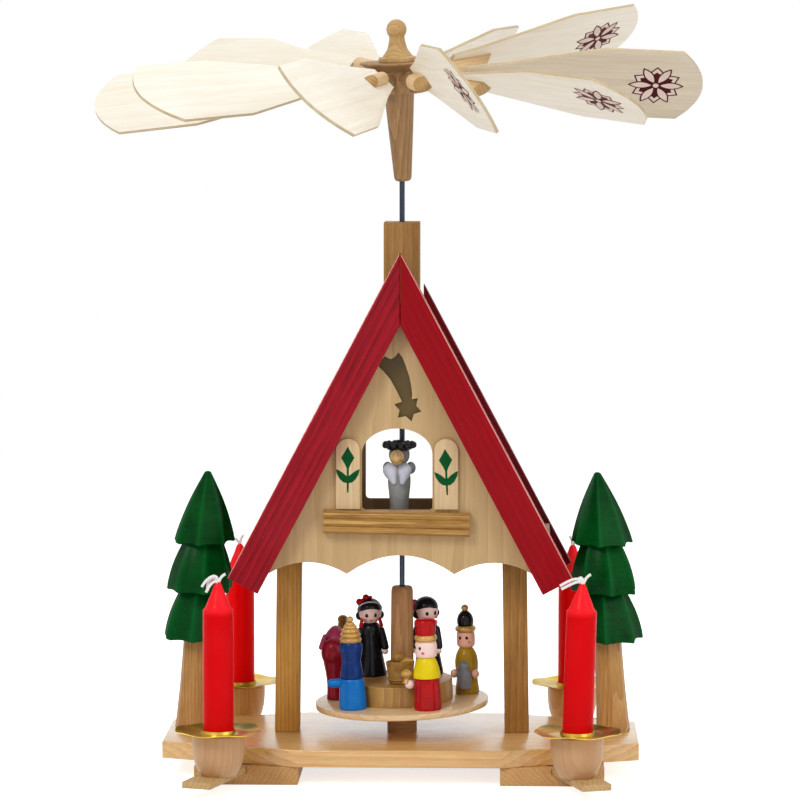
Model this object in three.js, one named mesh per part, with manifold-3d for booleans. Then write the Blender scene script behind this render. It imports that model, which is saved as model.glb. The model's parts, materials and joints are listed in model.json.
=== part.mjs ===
// A wooden candle carousel: warm air from four candles turns a ten-bladed wheel, whose rod carries a
// turntable of little figures through a gabled house. Millimetres and degrees, X right, Y back, Z up.
// The origin is on the table, under the centre of the base plate.
import * as THREE from "three";
import { mergeVertices } from "three/addons/utils/BufferGeometryUtils.js";
import Module from "manifold-3d";

const wasm = await Module();
wasm.setup();

// Clearances
const gap = 0.3;
const runningGap = 0.35;

// Foot battens and base plate
const footHeight = 8.6;
const footWidth = 48;
const footLength = 100;
const footCentre = 70.5;
const footRound = 4;
const plateThickness = 8;
const plateLength = 222;
const plateWidth = 104;
const plateLongEdge = 94;
const plateShortEdge = 60;

// Plug-in arms, their cups, drip plates and candles
const cupX = 81.5;
const cupY = 69.5;
const cupOffset = 2.5;
const armAngle = 17.5;
const armWidth = 14;
const armThickness = 3;
const armInsert = 28;
const armOverhang = 21;
const cupHeight = 18.9;
const cupFootRadius = 7.8;
const cupRadius = 12.1;
const socketDepth = 5.5;
const dripRadius = 19.75;
const dripThickness = 0.9;
const dripWave = 0.9;
const dripWaves = 6;
const dripCollar = 1.6;
const candleRadius = 7;
const candleShoulder = 62.5;
const candleCone = 12.7;
const wickRadius = 0.8;
const wickLength = 5;

// Posts and loft floor
const houseBack = 2;
const turnRoom = 7.5;
const postWidth = 11.5;
const postDepth = 12;
const postSplay = 0.85;
const postHeight = 92.3;
const loftOverhang = 15.2;
const loftThickness = 4;

// Gables, barge boards and ridge
const houseDepth = 51;
const gableThickness = 4;
const gableDrop = 14.3;
const scallopRise = 5.4;
const archRise = 8.8;
const pendantX = 25;
const eavesDrop = 1.1;
const windowX = -1.6;
const windowRise = 11.5;
const windowWidth = 32.8;
const windowSpring = 26.2;
const windowArch = 12;
const windowRound = 2;
const roofPitch = 62.1;
const roofCover = 16.8;
const boardWidth = 15.8;
const boardThickness = 8.5;
const backBoardGap = 19;
const railWidth = 10;
const railHeight = 12;
const railDrop = 28;
const blockSide = 16.8;
const blockHeight = 45.5;

// Comet sunk into the front gable, with its tail drawn about the middle of its star
const starX = 3.4;
const starRise = 47.8;
const starRadius = 6.5;
const starWaist = 4;
const starPoints = 6;
const starTurn = 45;
const cometDepth = 1.2;
const cometTail = [
  [0.6, 0.5],
  [1.8, 3.5],
  [2, 6.5],
  [1.6, 10],
  [0.7, 14.5],
  [-1, 19.6],
  [-2.5, 23.4],
  [-4.4, 25.8],
  [-5.9, 23.8],
  [-7.7, 22.6],
  [-9.2, 23.1],
  [-10.5, 24],
  [-12, 22.6],
  [-13.6, 19.2],
  [-11.1, 16.8],
  [-8.2, 13.4],
  [-5.2, 8],
  [-2.9, 3.2],
  [-0.8, 0.4],
];

// Shutters and sill
const shutterWidth = 11.2;
const shutterHeight = 33;
const shutterThickness = 2;
const shutterGap = 0.8;
const shutterClear = 1;
const sillWidth = 68;
const sillHeight = 10.8;
const sillDepth = 6;
const sillTilt = 1.2;
const sillRidges = 3;

// Facets round a turned piece
const turnedSides = 18;
const figureSides = 14;
const dripSides = 24;

// Trees
const treeInset = 11;
const treeY = 5;
const treeSides = 9;
const trunkRadius = 7;
const treeTiers = [
  { foot: 43.5, radius: 17, top: 66, neck: 10 },
  { foot: 66, radius: 16.2, top: 89, neck: 9.9 },
  { foot: 89, radius: 14.3, top: 122.8, neck: 0 },
];

// Rod, bearing and turntable
const rodRadius = 1.25;
const rodReach = 38.5;
const bearingRadius = 7;
const bearingHeight = 11.8;
const bearingFloor = 1.2;
const tableRadius = 41;
const tableThickness = 3;
const tableRound = 0.6;
const platformRadius = 24.2;
const platformHeight = 9.8;
const columnRadius = 5.35;
const columnHeight = 44;

// Wheel: hub, finial and paddles
const wheelLeanX = 3.81;
const wheelLeanY = -2.36;
const rodInsert = 19.6;
const hubPlay = 1.2;
const coneHeight = 40.8;
const coneTipRadius = 4.1;
const coneTopRadius = 6.95;
const hubCove = 1;
const hubHeight = 14;
const hubRadius = 17.2;
const hubRim = 18;
const hubRimHeight = 3;
const finialRingRadius = 9;
const finialRingHeight = 2.2;
const finialFootRadius = 6.8;
const finialNeckRadius = 3.5;
const finialBallRadius = 4.7;
const finialHeight = 19.7;
const stemRise = 6.5;
const stemRadius = 3.75;
const stemEnd = 50;
const stemBevel = 7;
const spigotRadius = 2.25;
const spigotEnd = 11.5;
const bladeThickness = 1.4;
const bladeOutline = [
  [28, 5.5],
  [50, 10],
  [94.6, 22.4],
  [131, 22.4],
];
const bladeReach = 141.9;
const bladeSteps = 12;
const paddles = [
  { turn: 2, pitch: 47, droop: 5 },
  { turn: 37, pitch: 40, droop: -4 },
  { turn: 71, pitch: 42, droop: 1 },
  { turn: 111, pitch: 30, droop: -1 },
  { turn: 140, pitch: 37, droop: 0 },
  { turn: 183, pitch: 32, droop: 4 },
  { turn: 217, pitch: 30, droop: 0 },
  { turn: 255, pitch: 43, droop: 1 },
  { turn: 284, pitch: 57, droop: 0 },
  { turn: 319, pitch: 31, droop: 5 },
];

// Levels that follow from the sizes above
const plateTop = plateThickness;
const armFloor = -armThickness - gap;
const cupFoot = armFloor + armThickness;
const cupTop = cupFoot + cupHeight;
const loftFloor = plateTop + postHeight;
const loftTop = loftFloor + loftThickness;
const gableInside = houseDepth / 2 - gableThickness;
const gableFoot = loftFloor - gableDrop;
const windowFoot = loftTop + windowRise;
const starZ = windowFoot + starRise;
const rad = Math.PI / 180;
const roofSlope = Math.tan(roofPitch * rad);
const boardDrop = boardWidth / Math.cos(roofPitch * rad);
const shutterFoot = windowFoot + 2 * gap;
const shutterSpring = shutterFoot + shutterHeight - shutterWidth / 2;
const shutterEdge = windowWidth / 2 + shutterGap + shutterWidth;
const roofTop = shutterSpring + (shutterEdge + Math.abs(windowX) + shutterClear) * roofSlope + boardDrop;
const boardLength = (roofTop - gableFoot + eavesDrop) / Math.sin(roofPitch * rad);
const eavesX = (roofTop - boardDrop - gableFoot) / roofSlope;
const gableTop = roofTop - roofCover;
const railFoot = gableTop - railDrop;
const blockFoot = railFoot + railHeight;
const blockTop = blockFoot + blockHeight;
const postX = tableRadius + turnRoom + postWidth / 2;
const tableFoot = plateTop + bearingHeight + gap;
const tableTop = tableFoot + tableThickness;
const platformTop = tableTop + platformHeight;
const rodHole = rodRadius + runningGap;
const rodTip = blockTop + rodReach;
const wheelPivot = rodTip - rodInsert / 2;
const coneTip = -rodInsert / 2;
const coneTop = coneTip + coneHeight;
const hubFoot = coneTop + hubCove;
const stemLevel = hubFoot + stemRise;
const bladeRoot = bladeOutline[0][0];
const kingOrbit = (platformRadius + tableRadius) / 2;
const familyOrbit = (columnRadius + platformRadius) / 2;

const carousel = new THREE.Group();
carousel.position.z = footHeight;

// The house, and all that turns in it, stands a little behind the middle of the plate.
const house = new THREE.Group();
house.position.y = houseBack;
carousel.add(house);

const woods = {
  beech: material(0xb58a57, 0.45),
  varnished: material(0xcfa066, 0.2),
  birch: material(0xe2d2b0, 0.5),
  brownWood: material(0xa87c42, 0.45),
  redBoard: material(0x941020, 0.4),
};
const paints = {
  brass: material(0xd9b23c, 0.25, 1),
  steel: material(0xb9b9bb, 0.3, 1),
  candle: material(0xd6080f, 0.35),
  tree: material(0x0c5c26, 0.45),
  blue: material(0x1266bd, 0.35),
  red: material(0xa10d10, 0.3),
  mustard: material(0x9a7a10, 0.4),
  black: material(0x141312, 0.35),
  crimson: material(0x8a1322, 0.4),
  gold: material(0xb08a45, 0.35),
  grey: material(0xc4c1bd, 0.5),
};

function material(color, roughness, metalness = 0) {
  return new THREE.MeshStandardMaterial({ color, roughness, metalness });
}

// Solids
function toSolid(geometry) {
  const bare = geometry.clone();
  bare.deleteAttribute("normal");
  bare.deleteAttribute("uv");
  const merged = mergeVertices(bare, 1e-4);
  return new wasm.Manifold(
    new wasm.Mesh({
      numProp: 3,
      vertProperties: merged.attributes.position.array,
      triVerts: new Uint32Array(merged.index.array),
    }),
  );
}

function toGeometry(solid) {
  const mesh = solid.getMesh();
  const geometry = new THREE.BufferGeometry();
  geometry.setAttribute("position", new THREE.BufferAttribute(mesh.vertProperties, 3));
  geometry.setIndex(new THREE.BufferAttribute(mesh.triVerts, 1));
  geometry.computeVertexNormals();
  return geometry;
}

function join(...pieces) {
  return toGeometry(pieces.map(toSolid).reduce((whole, piece) => whole.add(piece)));
}

function cut(body, ...tools) {
  return toGeometry(tools.map(toSolid).reduce((rest, tool) => rest.subtract(tool), toSolid(body)));
}

function block(width, depth, height, x = 0, y = 0, foot = 0) {
  return new THREE.BoxGeometry(width, depth, height).translate(x, y, foot + height / 2);
}

// A round piece from its profile of [radius, height] points, listed from its foot up.
function turned(profile, sides = turnedSides) {
  const points = profile.map(([radius, height]) => new THREE.Vector2(radius, height));
  return new THREE.LatheGeometry(points, sides).rotateX(Math.PI / 2);
}

function cylinder(radius, foot, top, sides = 16) {
  return turned([[0, foot], [radius, foot], [radius, top], [0, top]], sides);
}

function ball(radius, x, y, z, stretch = 1) {
  return new THREE.SphereGeometry(radius, 10, 6).scale(1, 1, stretch).translate(x, y, z);
}

function outline(points) {
  return new THREE.Shape(points.map(([x, y]) => new THREE.Vector2(x, y)));
}

// A board cut from an outline drawn in X and Z, standing with its back face at the given Y.
function upright(shape, thickness, back, curveSegments = 8) {
  return new THREE.ExtrudeGeometry(shape, { depth: thickness, bevelEnabled: false, curveSegments })
    .rotateX(Math.PI / 2)
    .translate(0, back, 0);
}

// A flat piece cut from an outline drawn in X and Y, lying with its underside at the given height.
function lying(shape, thickness, foot, curveSegments = 8) {
  return new THREE.ExtrudeGeometry(shape, { depth: thickness, bevelEnabled: false, curveSegments })
    .translate(0, 0, foot);
}

function add(group, name, geometry, finish) {
  const mesh = new THREE.Mesh(geometry, finish);
  mesh.name = name;
  group.add(mesh);
  return mesh;
}

// Base: two battens under an eight-sided plate
function armTurn(sideX, sideY) {
  return Math.atan2(-sideX * Math.sin(armAngle * rad), sideY * Math.cos(armAngle * rad));
}

const armInner = (cupY - footLength / 2) / Math.cos(armAngle * rad) + armInsert;

function armSlot(sideX, sideY) {
  const length = armInner + gap;
  return block(armWidth + 2 * gap, length, armThickness + 2 * gap, 0, -length / 2, armFloor)
    .translate(-sideX * sideY * -cupOffset, 0, 0)
    .rotateZ(armTurn(sideX, sideY))
    .translate(sideX * cupX, sideY * cupY, 0);
}

function footGeometry(sideX) {
  const inner = footCentre - footWidth / 2;
  const outer = footCentre + footWidth / 2;
  const shape = new THREE.Shape();
  shape.moveTo(sideX * inner, -footHeight);
  shape.lineTo(sideX * (outer - footRound), -footHeight);
  shape.quadraticCurveTo(sideX * outer, -footHeight, sideX * outer, footRound - footHeight);
  shape.lineTo(sideX * outer, 0);
  shape.lineTo(sideX * inner, 0);
  const batten = upright(shape, footLength, footLength / 2, 4);
  return cut(batten, armSlot(sideX, -1), armSlot(sideX, 1));
}

add(carousel, "foot_left", footGeometry(-1), woods.beech);
add(carousel, "foot_right", footGeometry(1), woods.beech);

const plateCorners = [
  [plateLongEdge / 2, plateWidth / 2],
  [plateLength / 2, plateShortEdge / 2],
];
const plateHalf = [
  plateCorners[0],
  plateCorners[1],
  [plateCorners[1][0], -plateCorners[1][1]],
  [plateCorners[0][0], -plateCorners[0][1]],
];
const plateOutline = [...plateHalf, ...plateHalf.map(([x, y]) => [-x, -y])];
add(carousel, "base_plate", lying(outline(plateOutline), plateThickness, 0), woods.varnished);

// Candle holders: an arm with a turned cup, a brass drip plate and a candle at each corner
function armGeometry(sideX, sideY) {
  const length = armInner + armOverhang;
  return block(armWidth, length, armThickness, 0, length / 2 - armInner, armFloor)
    .translate(sideX * sideY * cupOffset, 0, 0);
}

function cupGeometry() {
  const wall = [];
  const steps = 7;
  for (let i = 0; i <= steps; i++) {
    const t = i / steps;
    const swell = 1 - (1 - t) ** 2.6;
    wall.push([cupFootRadius + (cupRadius - cupFootRadius) * swell, cupFoot + cupHeight * t]);
  }
  const socket = candleRadius + gap;
  return turned([
    [0, cupFoot],
    ...wall,
    [socket, cupTop],
    [socket, cupTop - socketDepth],
    [0, cupTop - socketDepth],
  ]);
}

function dripGeometry() {
  const hole = candleRadius + gap;
  const lip = hole + dripThickness;
  const shoulder = lip + 1.5;
  const flat = cupRadius;
  const dish = turned([
    [hole, cupTop],
    [flat, cupTop],
    [dripRadius, cupTop + dripWave],
    [dripRadius, cupTop + dripWave + dripThickness],
    [flat, cupTop + dripThickness],
    [shoulder, cupTop + dripThickness],
    [lip, cupTop + dripThickness + dripCollar],
    [hole, cupTop + dripThickness + dripCollar],
    [hole, cupTop],
  ], dripSides);
  const points = dish.attributes.position;
  for (let i = 0; i < points.count; i++) {
    const radius = Math.hypot(points.getX(i), points.getY(i));
    const out = Math.max(0, (radius - flat) / (dripRadius - flat));
    const around = Math.atan2(points.getY(i), points.getX(i));
    points.setZ(i, points.getZ(i) + dripWave * out * Math.cos(dripWaves * around));
  }
  return dish;
}

function candleGeometry() {
  const foot = cupTop - socketDepth;
  const shoulder = foot + candleShoulder;
  const tip = shoulder + candleCone;
  return turned([
    [0, foot],
    [candleRadius, foot],
    [candleRadius, shoulder],
    [candleRadius * 0.72, shoulder + candleCone * 0.4],
    [wickRadius * 2.2, tip - 0.8],
    [wickRadius, tip],
    [wickRadius, tip + wickLength],
    [0, tip + wickLength],
  ], 18);
}

const corners = [
  ["front_left", -1, -1],
  ["front_right", 1, -1],
  ["back_left", -1, 1],
  ["back_right", 1, 1],
];
for (const [corner, sideX, sideY] of corners) {
  const holder = new THREE.Group();
  holder.position.set(sideX * cupX, sideY * cupY, 0);
  holder.rotation.z = armTurn(sideX, sideY);
  carousel.add(holder);
  add(holder, "arm_" + corner, armGeometry(sideX, sideY), woods.birch);
  add(holder, "cup_" + corner, cupGeometry(), woods.beech);
  add(holder, "drip_plate_" + corner, dripGeometry(), paints.brass);
  add(holder, "candle_" + corner, candleGeometry(), paints.candle);
}

// House: two posts carry the loft floor, which holds the gables
function postGeometry(side) {
  const lean = postHeight * Math.tan(postSplay * rad);
  const half = postWidth / 2;
  const foot = side * postX;
  const top = side * (postX - lean);
  const shape = outline([
    [foot - half, plateTop],
    [foot + half, plateTop],
    [top + half, loftFloor],
    [top - half, loftFloor],
  ]);
  return upright(shape, postDepth, postDepth / 2);
}

add(house, "post_left", postGeometry(-1), woods.brownWood);
add(house, "post_right", postGeometry(1), woods.brownWood);

const loftBoard = block(2 * (postX + loftOverhang), 2 * gableInside, loftThickness, 0, 0, loftFloor);
const loftHole = cylinder(rodHole, loftFloor - 1, loftTop + 1);
add(house, "loft_floor", cut(loftBoard, loftHole), woods.birch);

function gableShape() {
  const peakX = 4;
  const peakZ = gableTop - peakX * roofSlope;
  const side = (gableTop - gableFoot) / roofSlope;
  const shape = new THREE.Shape();
  shape.moveTo(side, gableFoot);
  shape.lineTo(peakX, peakZ);
  shape.lineTo(-peakX, peakZ);
  shape.lineTo(-side, gableFoot);
  shape.lineTo(-eavesX, gableFoot);
  const middle = (eavesX + pendantX) / 2;
  shape.quadraticCurveTo(-middle, gableFoot + 2 * scallopRise, -pendantX, gableFoot);
  shape.quadraticCurveTo(0, gableFoot + 2 * archRise, pendantX, gableFoot);
  shape.quadraticCurveTo(middle, gableFoot + 2 * scallopRise, eavesX, gableFoot);
  shape.lineTo(side, gableFoot);
  const half = windowWidth / 2;
  const opening = new THREE.Path();
  const left = windowX - half;
  const right = windowX + half;
  opening.moveTo(right, windowFoot + windowSpring);
  opening.absellipse(windowX, windowFoot + windowSpring, half, windowArch, 0, Math.PI, false);
  opening.lineTo(left, windowFoot + windowRound);
  opening.quadraticCurveTo(left, windowFoot, left + windowRound, windowFoot);
  opening.lineTo(right - windowRound, windowFoot);
  opening.quadraticCurveTo(right, windowFoot, right, windowFoot + windowRound);
  shape.holes.push(opening);
  return shape;
}

function cometCutters() {
  const star = [];
  for (let i = 0; i < 2 * starPoints; i++) {
    const reach = i % 2 ? starWaist : starRadius;
    const around = starTurn * rad + (Math.PI * i) / starPoints;
    star.push([starX + reach * Math.cos(around), starZ + reach * Math.sin(around)]);
  }
  const tail = cometTail.map(([x, z]) => [starX + x, starZ + z]);
  const back = cometDepth - gableInside - gableThickness;
  return [star, tail].map((points) => upright(outline(points), cometDepth + 1, back));
}

const frontGable = upright(gableShape(), gableThickness, -gableInside, 10);
const backGable = upright(gableShape(), gableThickness, gableInside + gableThickness, 10);
add(house, "gable_front", cut(frontGable, ...cometCutters()), woods.birch);
add(house, "gable_back", backGable, woods.birch);

// A barge board of one slope, square at its foot and cut plumb at the top.
function boardGeometry(side, plumb, back) {
  const along = [Math.cos(roofPitch * rad), -Math.sin(roofPitch * rad)];
  const across = [along[1] * boardWidth, -along[0] * boardWidth];
  const foot = [along[0] * boardLength, roofTop + along[1] * boardLength];
  const corners = [
    [plumb, roofTop - plumb * roofSlope],
    foot,
    [foot[0] + across[0], foot[1] + across[1]],
    [plumb, roofTop - plumb * roofSlope - boardDrop],
  ];
  return upright(outline(corners.map(([x, z]) => [side * x, z])), boardThickness, back);
}

for (const [name, side] of [["left", -1], ["right", 1]]) {
  const front = boardGeometry(side, gap / 2, -houseDepth / 2);
  const back = boardGeometry(side, backBoardGap / 2, houseDepth / 2 + boardThickness);
  add(house, "barge_board_front_" + name, front, woods.redBoard);
  add(house, "barge_board_back_" + name, back, woods.redBoard);
}

const rail = block(railWidth, 2 * gableInside, railHeight, 0, 0, railFoot);
add(house, "ridge_rail", cut(rail, cylinder(rodHole, railFoot - 1, blockFoot + 1)), woods.beech);
const ridge = block(blockSide, blockSide, blockHeight, 0, 0, blockFoot);
const ridgeBore = cylinder(rodHole, blockFoot - 1, blockTop + 1);
add(house, "ridge_block", cut(ridge, ridgeBore), woods.brownWood);

// Window dressing: two shutters over a ridged sill
function shutterGeometry(side) {
  const half = shutterWidth / 2;
  const middle = windowX + side * (shutterEdge - half);
  const shape = new THREE.Shape();
  shape.moveTo(middle - half, shutterFoot);
  shape.lineTo(middle + half, shutterFoot);
  shape.lineTo(middle + half, shutterSpring);
  shape.absellipse(middle, shutterSpring, half, half, 0, Math.PI, false);
  return upright(shape, shutterThickness, -houseDepth / 2, 10);
}

add(house, "shutter_left", shutterGeometry(-1), woods.birch);
add(house, "shutter_right", shutterGeometry(1), woods.birch);

function sillGeometry() {
  const shape = new THREE.Shape();
  const step = sillHeight / sillRidges;
  shape.moveTo(0, 0);
  for (let i = 0; i < sillRidges; i++) {
    shape.lineTo(sillDepth * 0.7, i * step);
    shape.lineTo(sillDepth, (i + 0.35) * step);
    shape.lineTo(sillDepth, (i + 0.7) * step);
  }
  shape.lineTo(sillDepth * 0.7, sillHeight);
  shape.lineTo(0, sillHeight);
  const bar = new THREE.ExtrudeGeometry(shape, { depth: sillWidth, bevelEnabled: false });
  const turn = new THREE.Matrix4().makeBasis(
    new THREE.Vector3(0, -1, 0),
    new THREE.Vector3(0, 0, 1),
    new THREE.Vector3(-1, 0, 0),
  );
  return bar.applyMatrix4(turn).translate(sillWidth / 2, 0, -sillHeight);
}

const sill = add(house, "window_sill", sillGeometry(), woods.beech);
sill.position.set(windowX, -houseDepth / 2, windowFoot - gap);
sill.rotation.y = sillTilt * rad;

// Carved trees: three faceted tiers on a trunk, sheared so that the foot stays flat
function treeGeometry(side, lean) {
  const pieces = [cylinder(trunkRadius, 0, treeTiers[0].foot + 1, treeSides)];
  for (const tier of treeTiers) {
    const crown = [[0, tier.foot], [tier.radius, tier.foot], [tier.neck, tier.top + 0.5]];
    if (tier.neck > 0) crown.push([0, tier.top + 0.5]);
    pieces.push(turned(crown, treeSides));
  }
  const shear = Math.tan(lean * rad);
  const slant = new THREE.Matrix4().set(1, 0, shear, 0, 0, 1, 0, 0, 0, 0, 1, 0, 0, 0, 0, 1);
  return join(...pieces)
    .applyMatrix4(slant)
    .translate(side * (plateLength / 2 - treeInset), treeY, plateTop);
}

add(carousel, "tree_left", treeGeometry(-1, 3.8), paints.tree);
add(carousel, "tree_right", treeGeometry(1, -3.8), paints.tree);

// Angel behind the window, blowing a trumpet
function angelGeometry() {
  const sleeve = (side) =>
    new THREE.CapsuleGeometry(2.4, 8, 3, 8)
      .rotateX(Math.PI / 2)
      .rotateY(side * 24 * rad)
      .translate(side * 3.8, -2.6, 22.6);
  return join(
    turned([[0, 0], [5.6, 0], [5.4, 14.6], [4.2, 22.6], [2.6, 30.6], [0, 30.6]], 14),
    ball(5.6, 0, 0, 35.1),
    ball(6.2, 0, 1.2, 36.9),
    sleeve(-1),
    sleeve(1),
  );
}

const angelY = -11.5;
const angel = add(house, "angel", angelGeometry(), paints.grey);
angel.position.set(-1, angelY, loftTop);

// Rotor: the rod stands in a bearing block on the plate and turns with the turntable
const bearingBore = cylinder(rodHole, plateTop + bearingFloor, plateTop + bearingHeight + 1);
const bearing = cylinder(bearingRadius, plateTop, plateTop + bearingHeight);
add(house, "bearing_block", cut(bearing, bearingBore), woods.beech);

const rotor = new THREE.Group();
house.add(rotor);
const rodFoot = plateTop + bearingFloor + gap;
const rodGeometry = turned([[0, rodFoot], [rodRadius, rodFoot + 1.2], [rodRadius, rodTip], [0, rodTip]], 12);
add(rotor, "rod", rodGeometry, paints.steel);

// A round piece that the rod passes through, from its outside profile.
function onRod(profile, sides) {
  const foot = profile[0][1];
  const top = profile[profile.length - 1][1];
  const hole = rodRadius + gap;
  return turned([[hole, foot], ...profile, [hole, top], [hole, foot]], sides);
}

const tableProfile = [
  [tableRadius - tableRound, tableFoot],
  [tableRadius, tableFoot + tableRound],
  [tableRadius, tableTop - tableRound],
  [tableRadius - tableRound, tableTop],
];
add(rotor, "turntable_disc", onRod(tableProfile, 40), woods.birch);
const platformProfile = [[platformRadius, tableTop], [platformRadius, platformTop]];
add(rotor, "turntable_platform", onRod(platformProfile, 32), woods.beech);
const columnProfile = [[columnRadius, platformTop], [columnRadius, platformTop + columnHeight]];
add(rotor, "turntable_column", onRod(columnProfile, 16), woods.brownWood);

// Figures, each drawn about its own foot and facing -Y
function blueKing() {
  const body = turned([
    [0, 0], [6.1, 0], [5.3, 14.6], [4.6, 15], [4.2, 24], [4.6, 30], [5.1, 31], [5, 34], [3.9, 36.4],
    [3.2, 39.2], [1.6, 41.5], [0, 44.5],
  ], figureSides);
  const arm = new THREE.CapsuleGeometry(2.1, 6.4, 4, 10).translate(0, -5.4, 12.4);
  return join(body, arm);
}

function redKing() {
  const body = turned([
    [0, 0], [6, 0], [5.5, 14.8], [6, 15.2], [5.6, 19.5], [4.2, 23.6], [3.6, 24.6], [4.7, 25.4],
    [4.8, 31.8], [5, 32.3], [4.9, 35], [4, 35.8], [4.4, 40], [3.4, 42.2], [0, 43],
  ], figureSides);
  const cup = turned([[0, 12.6], [2.2, 12.6], [1.3, 14.6], [2.6, 18.4], [0, 18.4]], 12);
  return join(body, ball(2.3, 0, -7.6, 12), cup.translate(0, -8.8, 0));
}

function mustardKing() {
  const body = turned([
    [0, 0], [5.4, 0], [4.5, 9], [5.2, 13], [4.4, 19], [3.1, 22], [4.1, 23.4], [4.1, 29], [4.8, 29.4],
    [4.7, 32], [3.6, 32.6], [3.8, 35.4], [1.7, 39.2], [1.7, 41], [0, 42.6],
  ], figureSides);
  const vessel = turned([[0, 2.6], [2.9, 2.6], [3.3, 10.6], [2.8, 13.6], [0, 16.6]], 10);
  const hands = [-1, 1].map((side) => ball(1.8, side * 5, -3.2, 9.6, 1.3));
  return join(body, vessel.translate(0, -4, 0), ...hands);
}

function woman() {
  const body = turned([
    [0, 0], [6.6, 0], [5.2, 10], [4.6, 19], [5, 22.5], [3.2, 25.4], [0, 25.4],
  ], figureSides);
  const arm = (side) => new THREE.CapsuleGeometry(1.7, 9, 3, 8)
    .rotateX(Math.PI / 2)
    .rotateY(side * -12 * rad)
    .translate(side * 5.9, -0.8, 17.5);
  return join(
    body,
    ball(5.3, 0, 0, 29.6),
    arm(-1),
    arm(1),
    ball(2.6, -2.6, 0.6, 35.4, 0.8),
  );
}

function camel() {
  const barrel = new THREE.SphereGeometry(1, 14, 9).scale(5.6, 11, 9).translate(0, 0, 21);
  const hump = new THREE.SphereGeometry(1, 10, 7).scale(3.6, 5, 7).translate(0, 1, 30.5);
  const neck = new THREE.CapsuleGeometry(2.4, 12, 3, 8)
    .rotateX(Math.PI / 2)
    .rotateX(24 * rad)
    .translate(0, -12.4, 27);
  const head = new THREE.CapsuleGeometry(2.3, 4, 3, 8).rotateX(8 * rad).translate(0, -16.4, 34.6);
  const legs = [[-2.8, -6], [2.8, -6], [-2.8, 7], [2.8, 7]].map(([x, y]) =>
    turned([[0, 0], [2.4, 0], [1.8, 1.6], [2.2, 18], [0, 18]], 8).translate(x, y, 0),
  );
  return join(barrel, hump, neck, head, ...legs);
}

function crib() {
  const trough = turned([[0, 0], [5, 0], [7, 9.4], [5.6, 9.4], [4.4, 4], [0, 4]], 14).scale(1, 0.62, 1);
  const child = new THREE.CapsuleGeometry(2.7, 4, 3, 10)
    .rotateZ(Math.PI / 2)
    .translate(1, 0, 6.6);
  return join(trough, child, ball(3.6, -3.4, 0, 11.6));
}

// The kings and the camel go round the disc, the family stands on the platform.
const figures = [
  { name: "king_blue", shape: blueKing, around: -136.4, out: -1.9, turn: -90, finish: paints.blue },
  { name: "king_red", shape: redKing, around: -65, out: -1.9, turn: -90, finish: paints.red },
  { name: "king_mustard", shape: mustardKing, around: 21, out: 0.5, turn: -15, finish: paints.mustard },
  { name: "camel", shape: camel, around: 163, out: -0.5, turn: 170, finish: paints.crimson },
];
const family = [
  { name: "woman_left", shape: woman, around: 141.6, out: 3.3, turn: 8, finish: paints.black },
  { name: "woman_right", shape: woman, around: 42.5, out: 2.6, turn: -20, finish: paints.black },
  { name: "crib", shape: crib, around: -89, out: -1.8, turn: 0, finish: paints.gold },
];

function place(list, orbit, level) {
  for (const { name, shape, around, out, turn, finish } of list) {
    const figure = add(rotor, name, shape(), finish);
    const reach = orbit + out;
    figure.position.set(reach * Math.cos(around * rad), reach * Math.sin(around * rad), level);
    figure.rotation.z = turn * rad;
  }
}

place(figures, kingOrbit, tableTop);
place(family, familyOrbit, platformTop);

// Wheel: its hub hangs loosely on the rod's tip, so it leans a little
const wheel = new THREE.Group();
wheel.position.z = wheelPivot;
wheel.rotation.set(wheelLeanX * rad, wheelLeanY * rad, 0);
rotor.add(wheel);

function stemBore({ turn, droop }) {
  return cylinder(spigotRadius + gap, spigotEnd - gap, hubRim + 5, 12)
    .rotateY(Math.PI / 2 + droop * rad)
    .rotateZ(turn * rad)
    .translate(0, 0, stemLevel);
}

function hubGeometry() {
  const top = hubFoot + hubHeight;
  const body = turned([
    [0, coneTip],
    [coneTipRadius * 0.8, coneTip],
    [coneTipRadius, coneTip + 3],
    [coneTopRadius, coneTop],
    [hubRadius, hubFoot],
    [hubRadius, top - hubRimHeight],
    [hubRim, top - hubRimHeight],
    [hubRim, top],
    [0, top],
  ], 28);
  const bore = cylinder(rodRadius + hubPlay, coneTip - 1, coneTip + rodInsert + gap, 12);
  return cut(body, bore, ...paddles.map(stemBore));
}

function finialGeometry() {
  const foot = hubFoot + hubHeight;
  const ball = finialHeight - finialBallRadius;
  const ballFoot = -Math.acos(finialNeckRadius / finialBallRadius);
  const neckTop = ball + finialBallRadius * Math.sin(ballFoot);
  const cove = neckTop - finialRingHeight;
  const profile = [
    [0, 0],
    [finialRingRadius, 0],
    [finialRingRadius, finialRingHeight],
    [finialFootRadius, finialRingHeight + cove * 0.05],
    [finialFootRadius * 0.72, finialRingHeight + cove * 0.4],
    [finialNeckRadius * 1.1, finialRingHeight + cove * 0.75],
    [finialNeckRadius, neckTop],
  ];
  const steps = 6;
  for (let i = 1; i < steps; i++) {
    const around = ballFoot + (Math.PI / 2 - ballFoot) * (i / steps);
    profile.push([finialBallRadius * Math.cos(around), ball + finialBallRadius * Math.sin(around)]);
  }
  profile.push([0, finialHeight]);
  return turned(profile, 18).translate(0, 0, foot);
}

add(wheel, "wheel_hub", hubGeometry(), woods.beech);
add(wheel, "finial", finialGeometry(), woods.beech);

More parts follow.
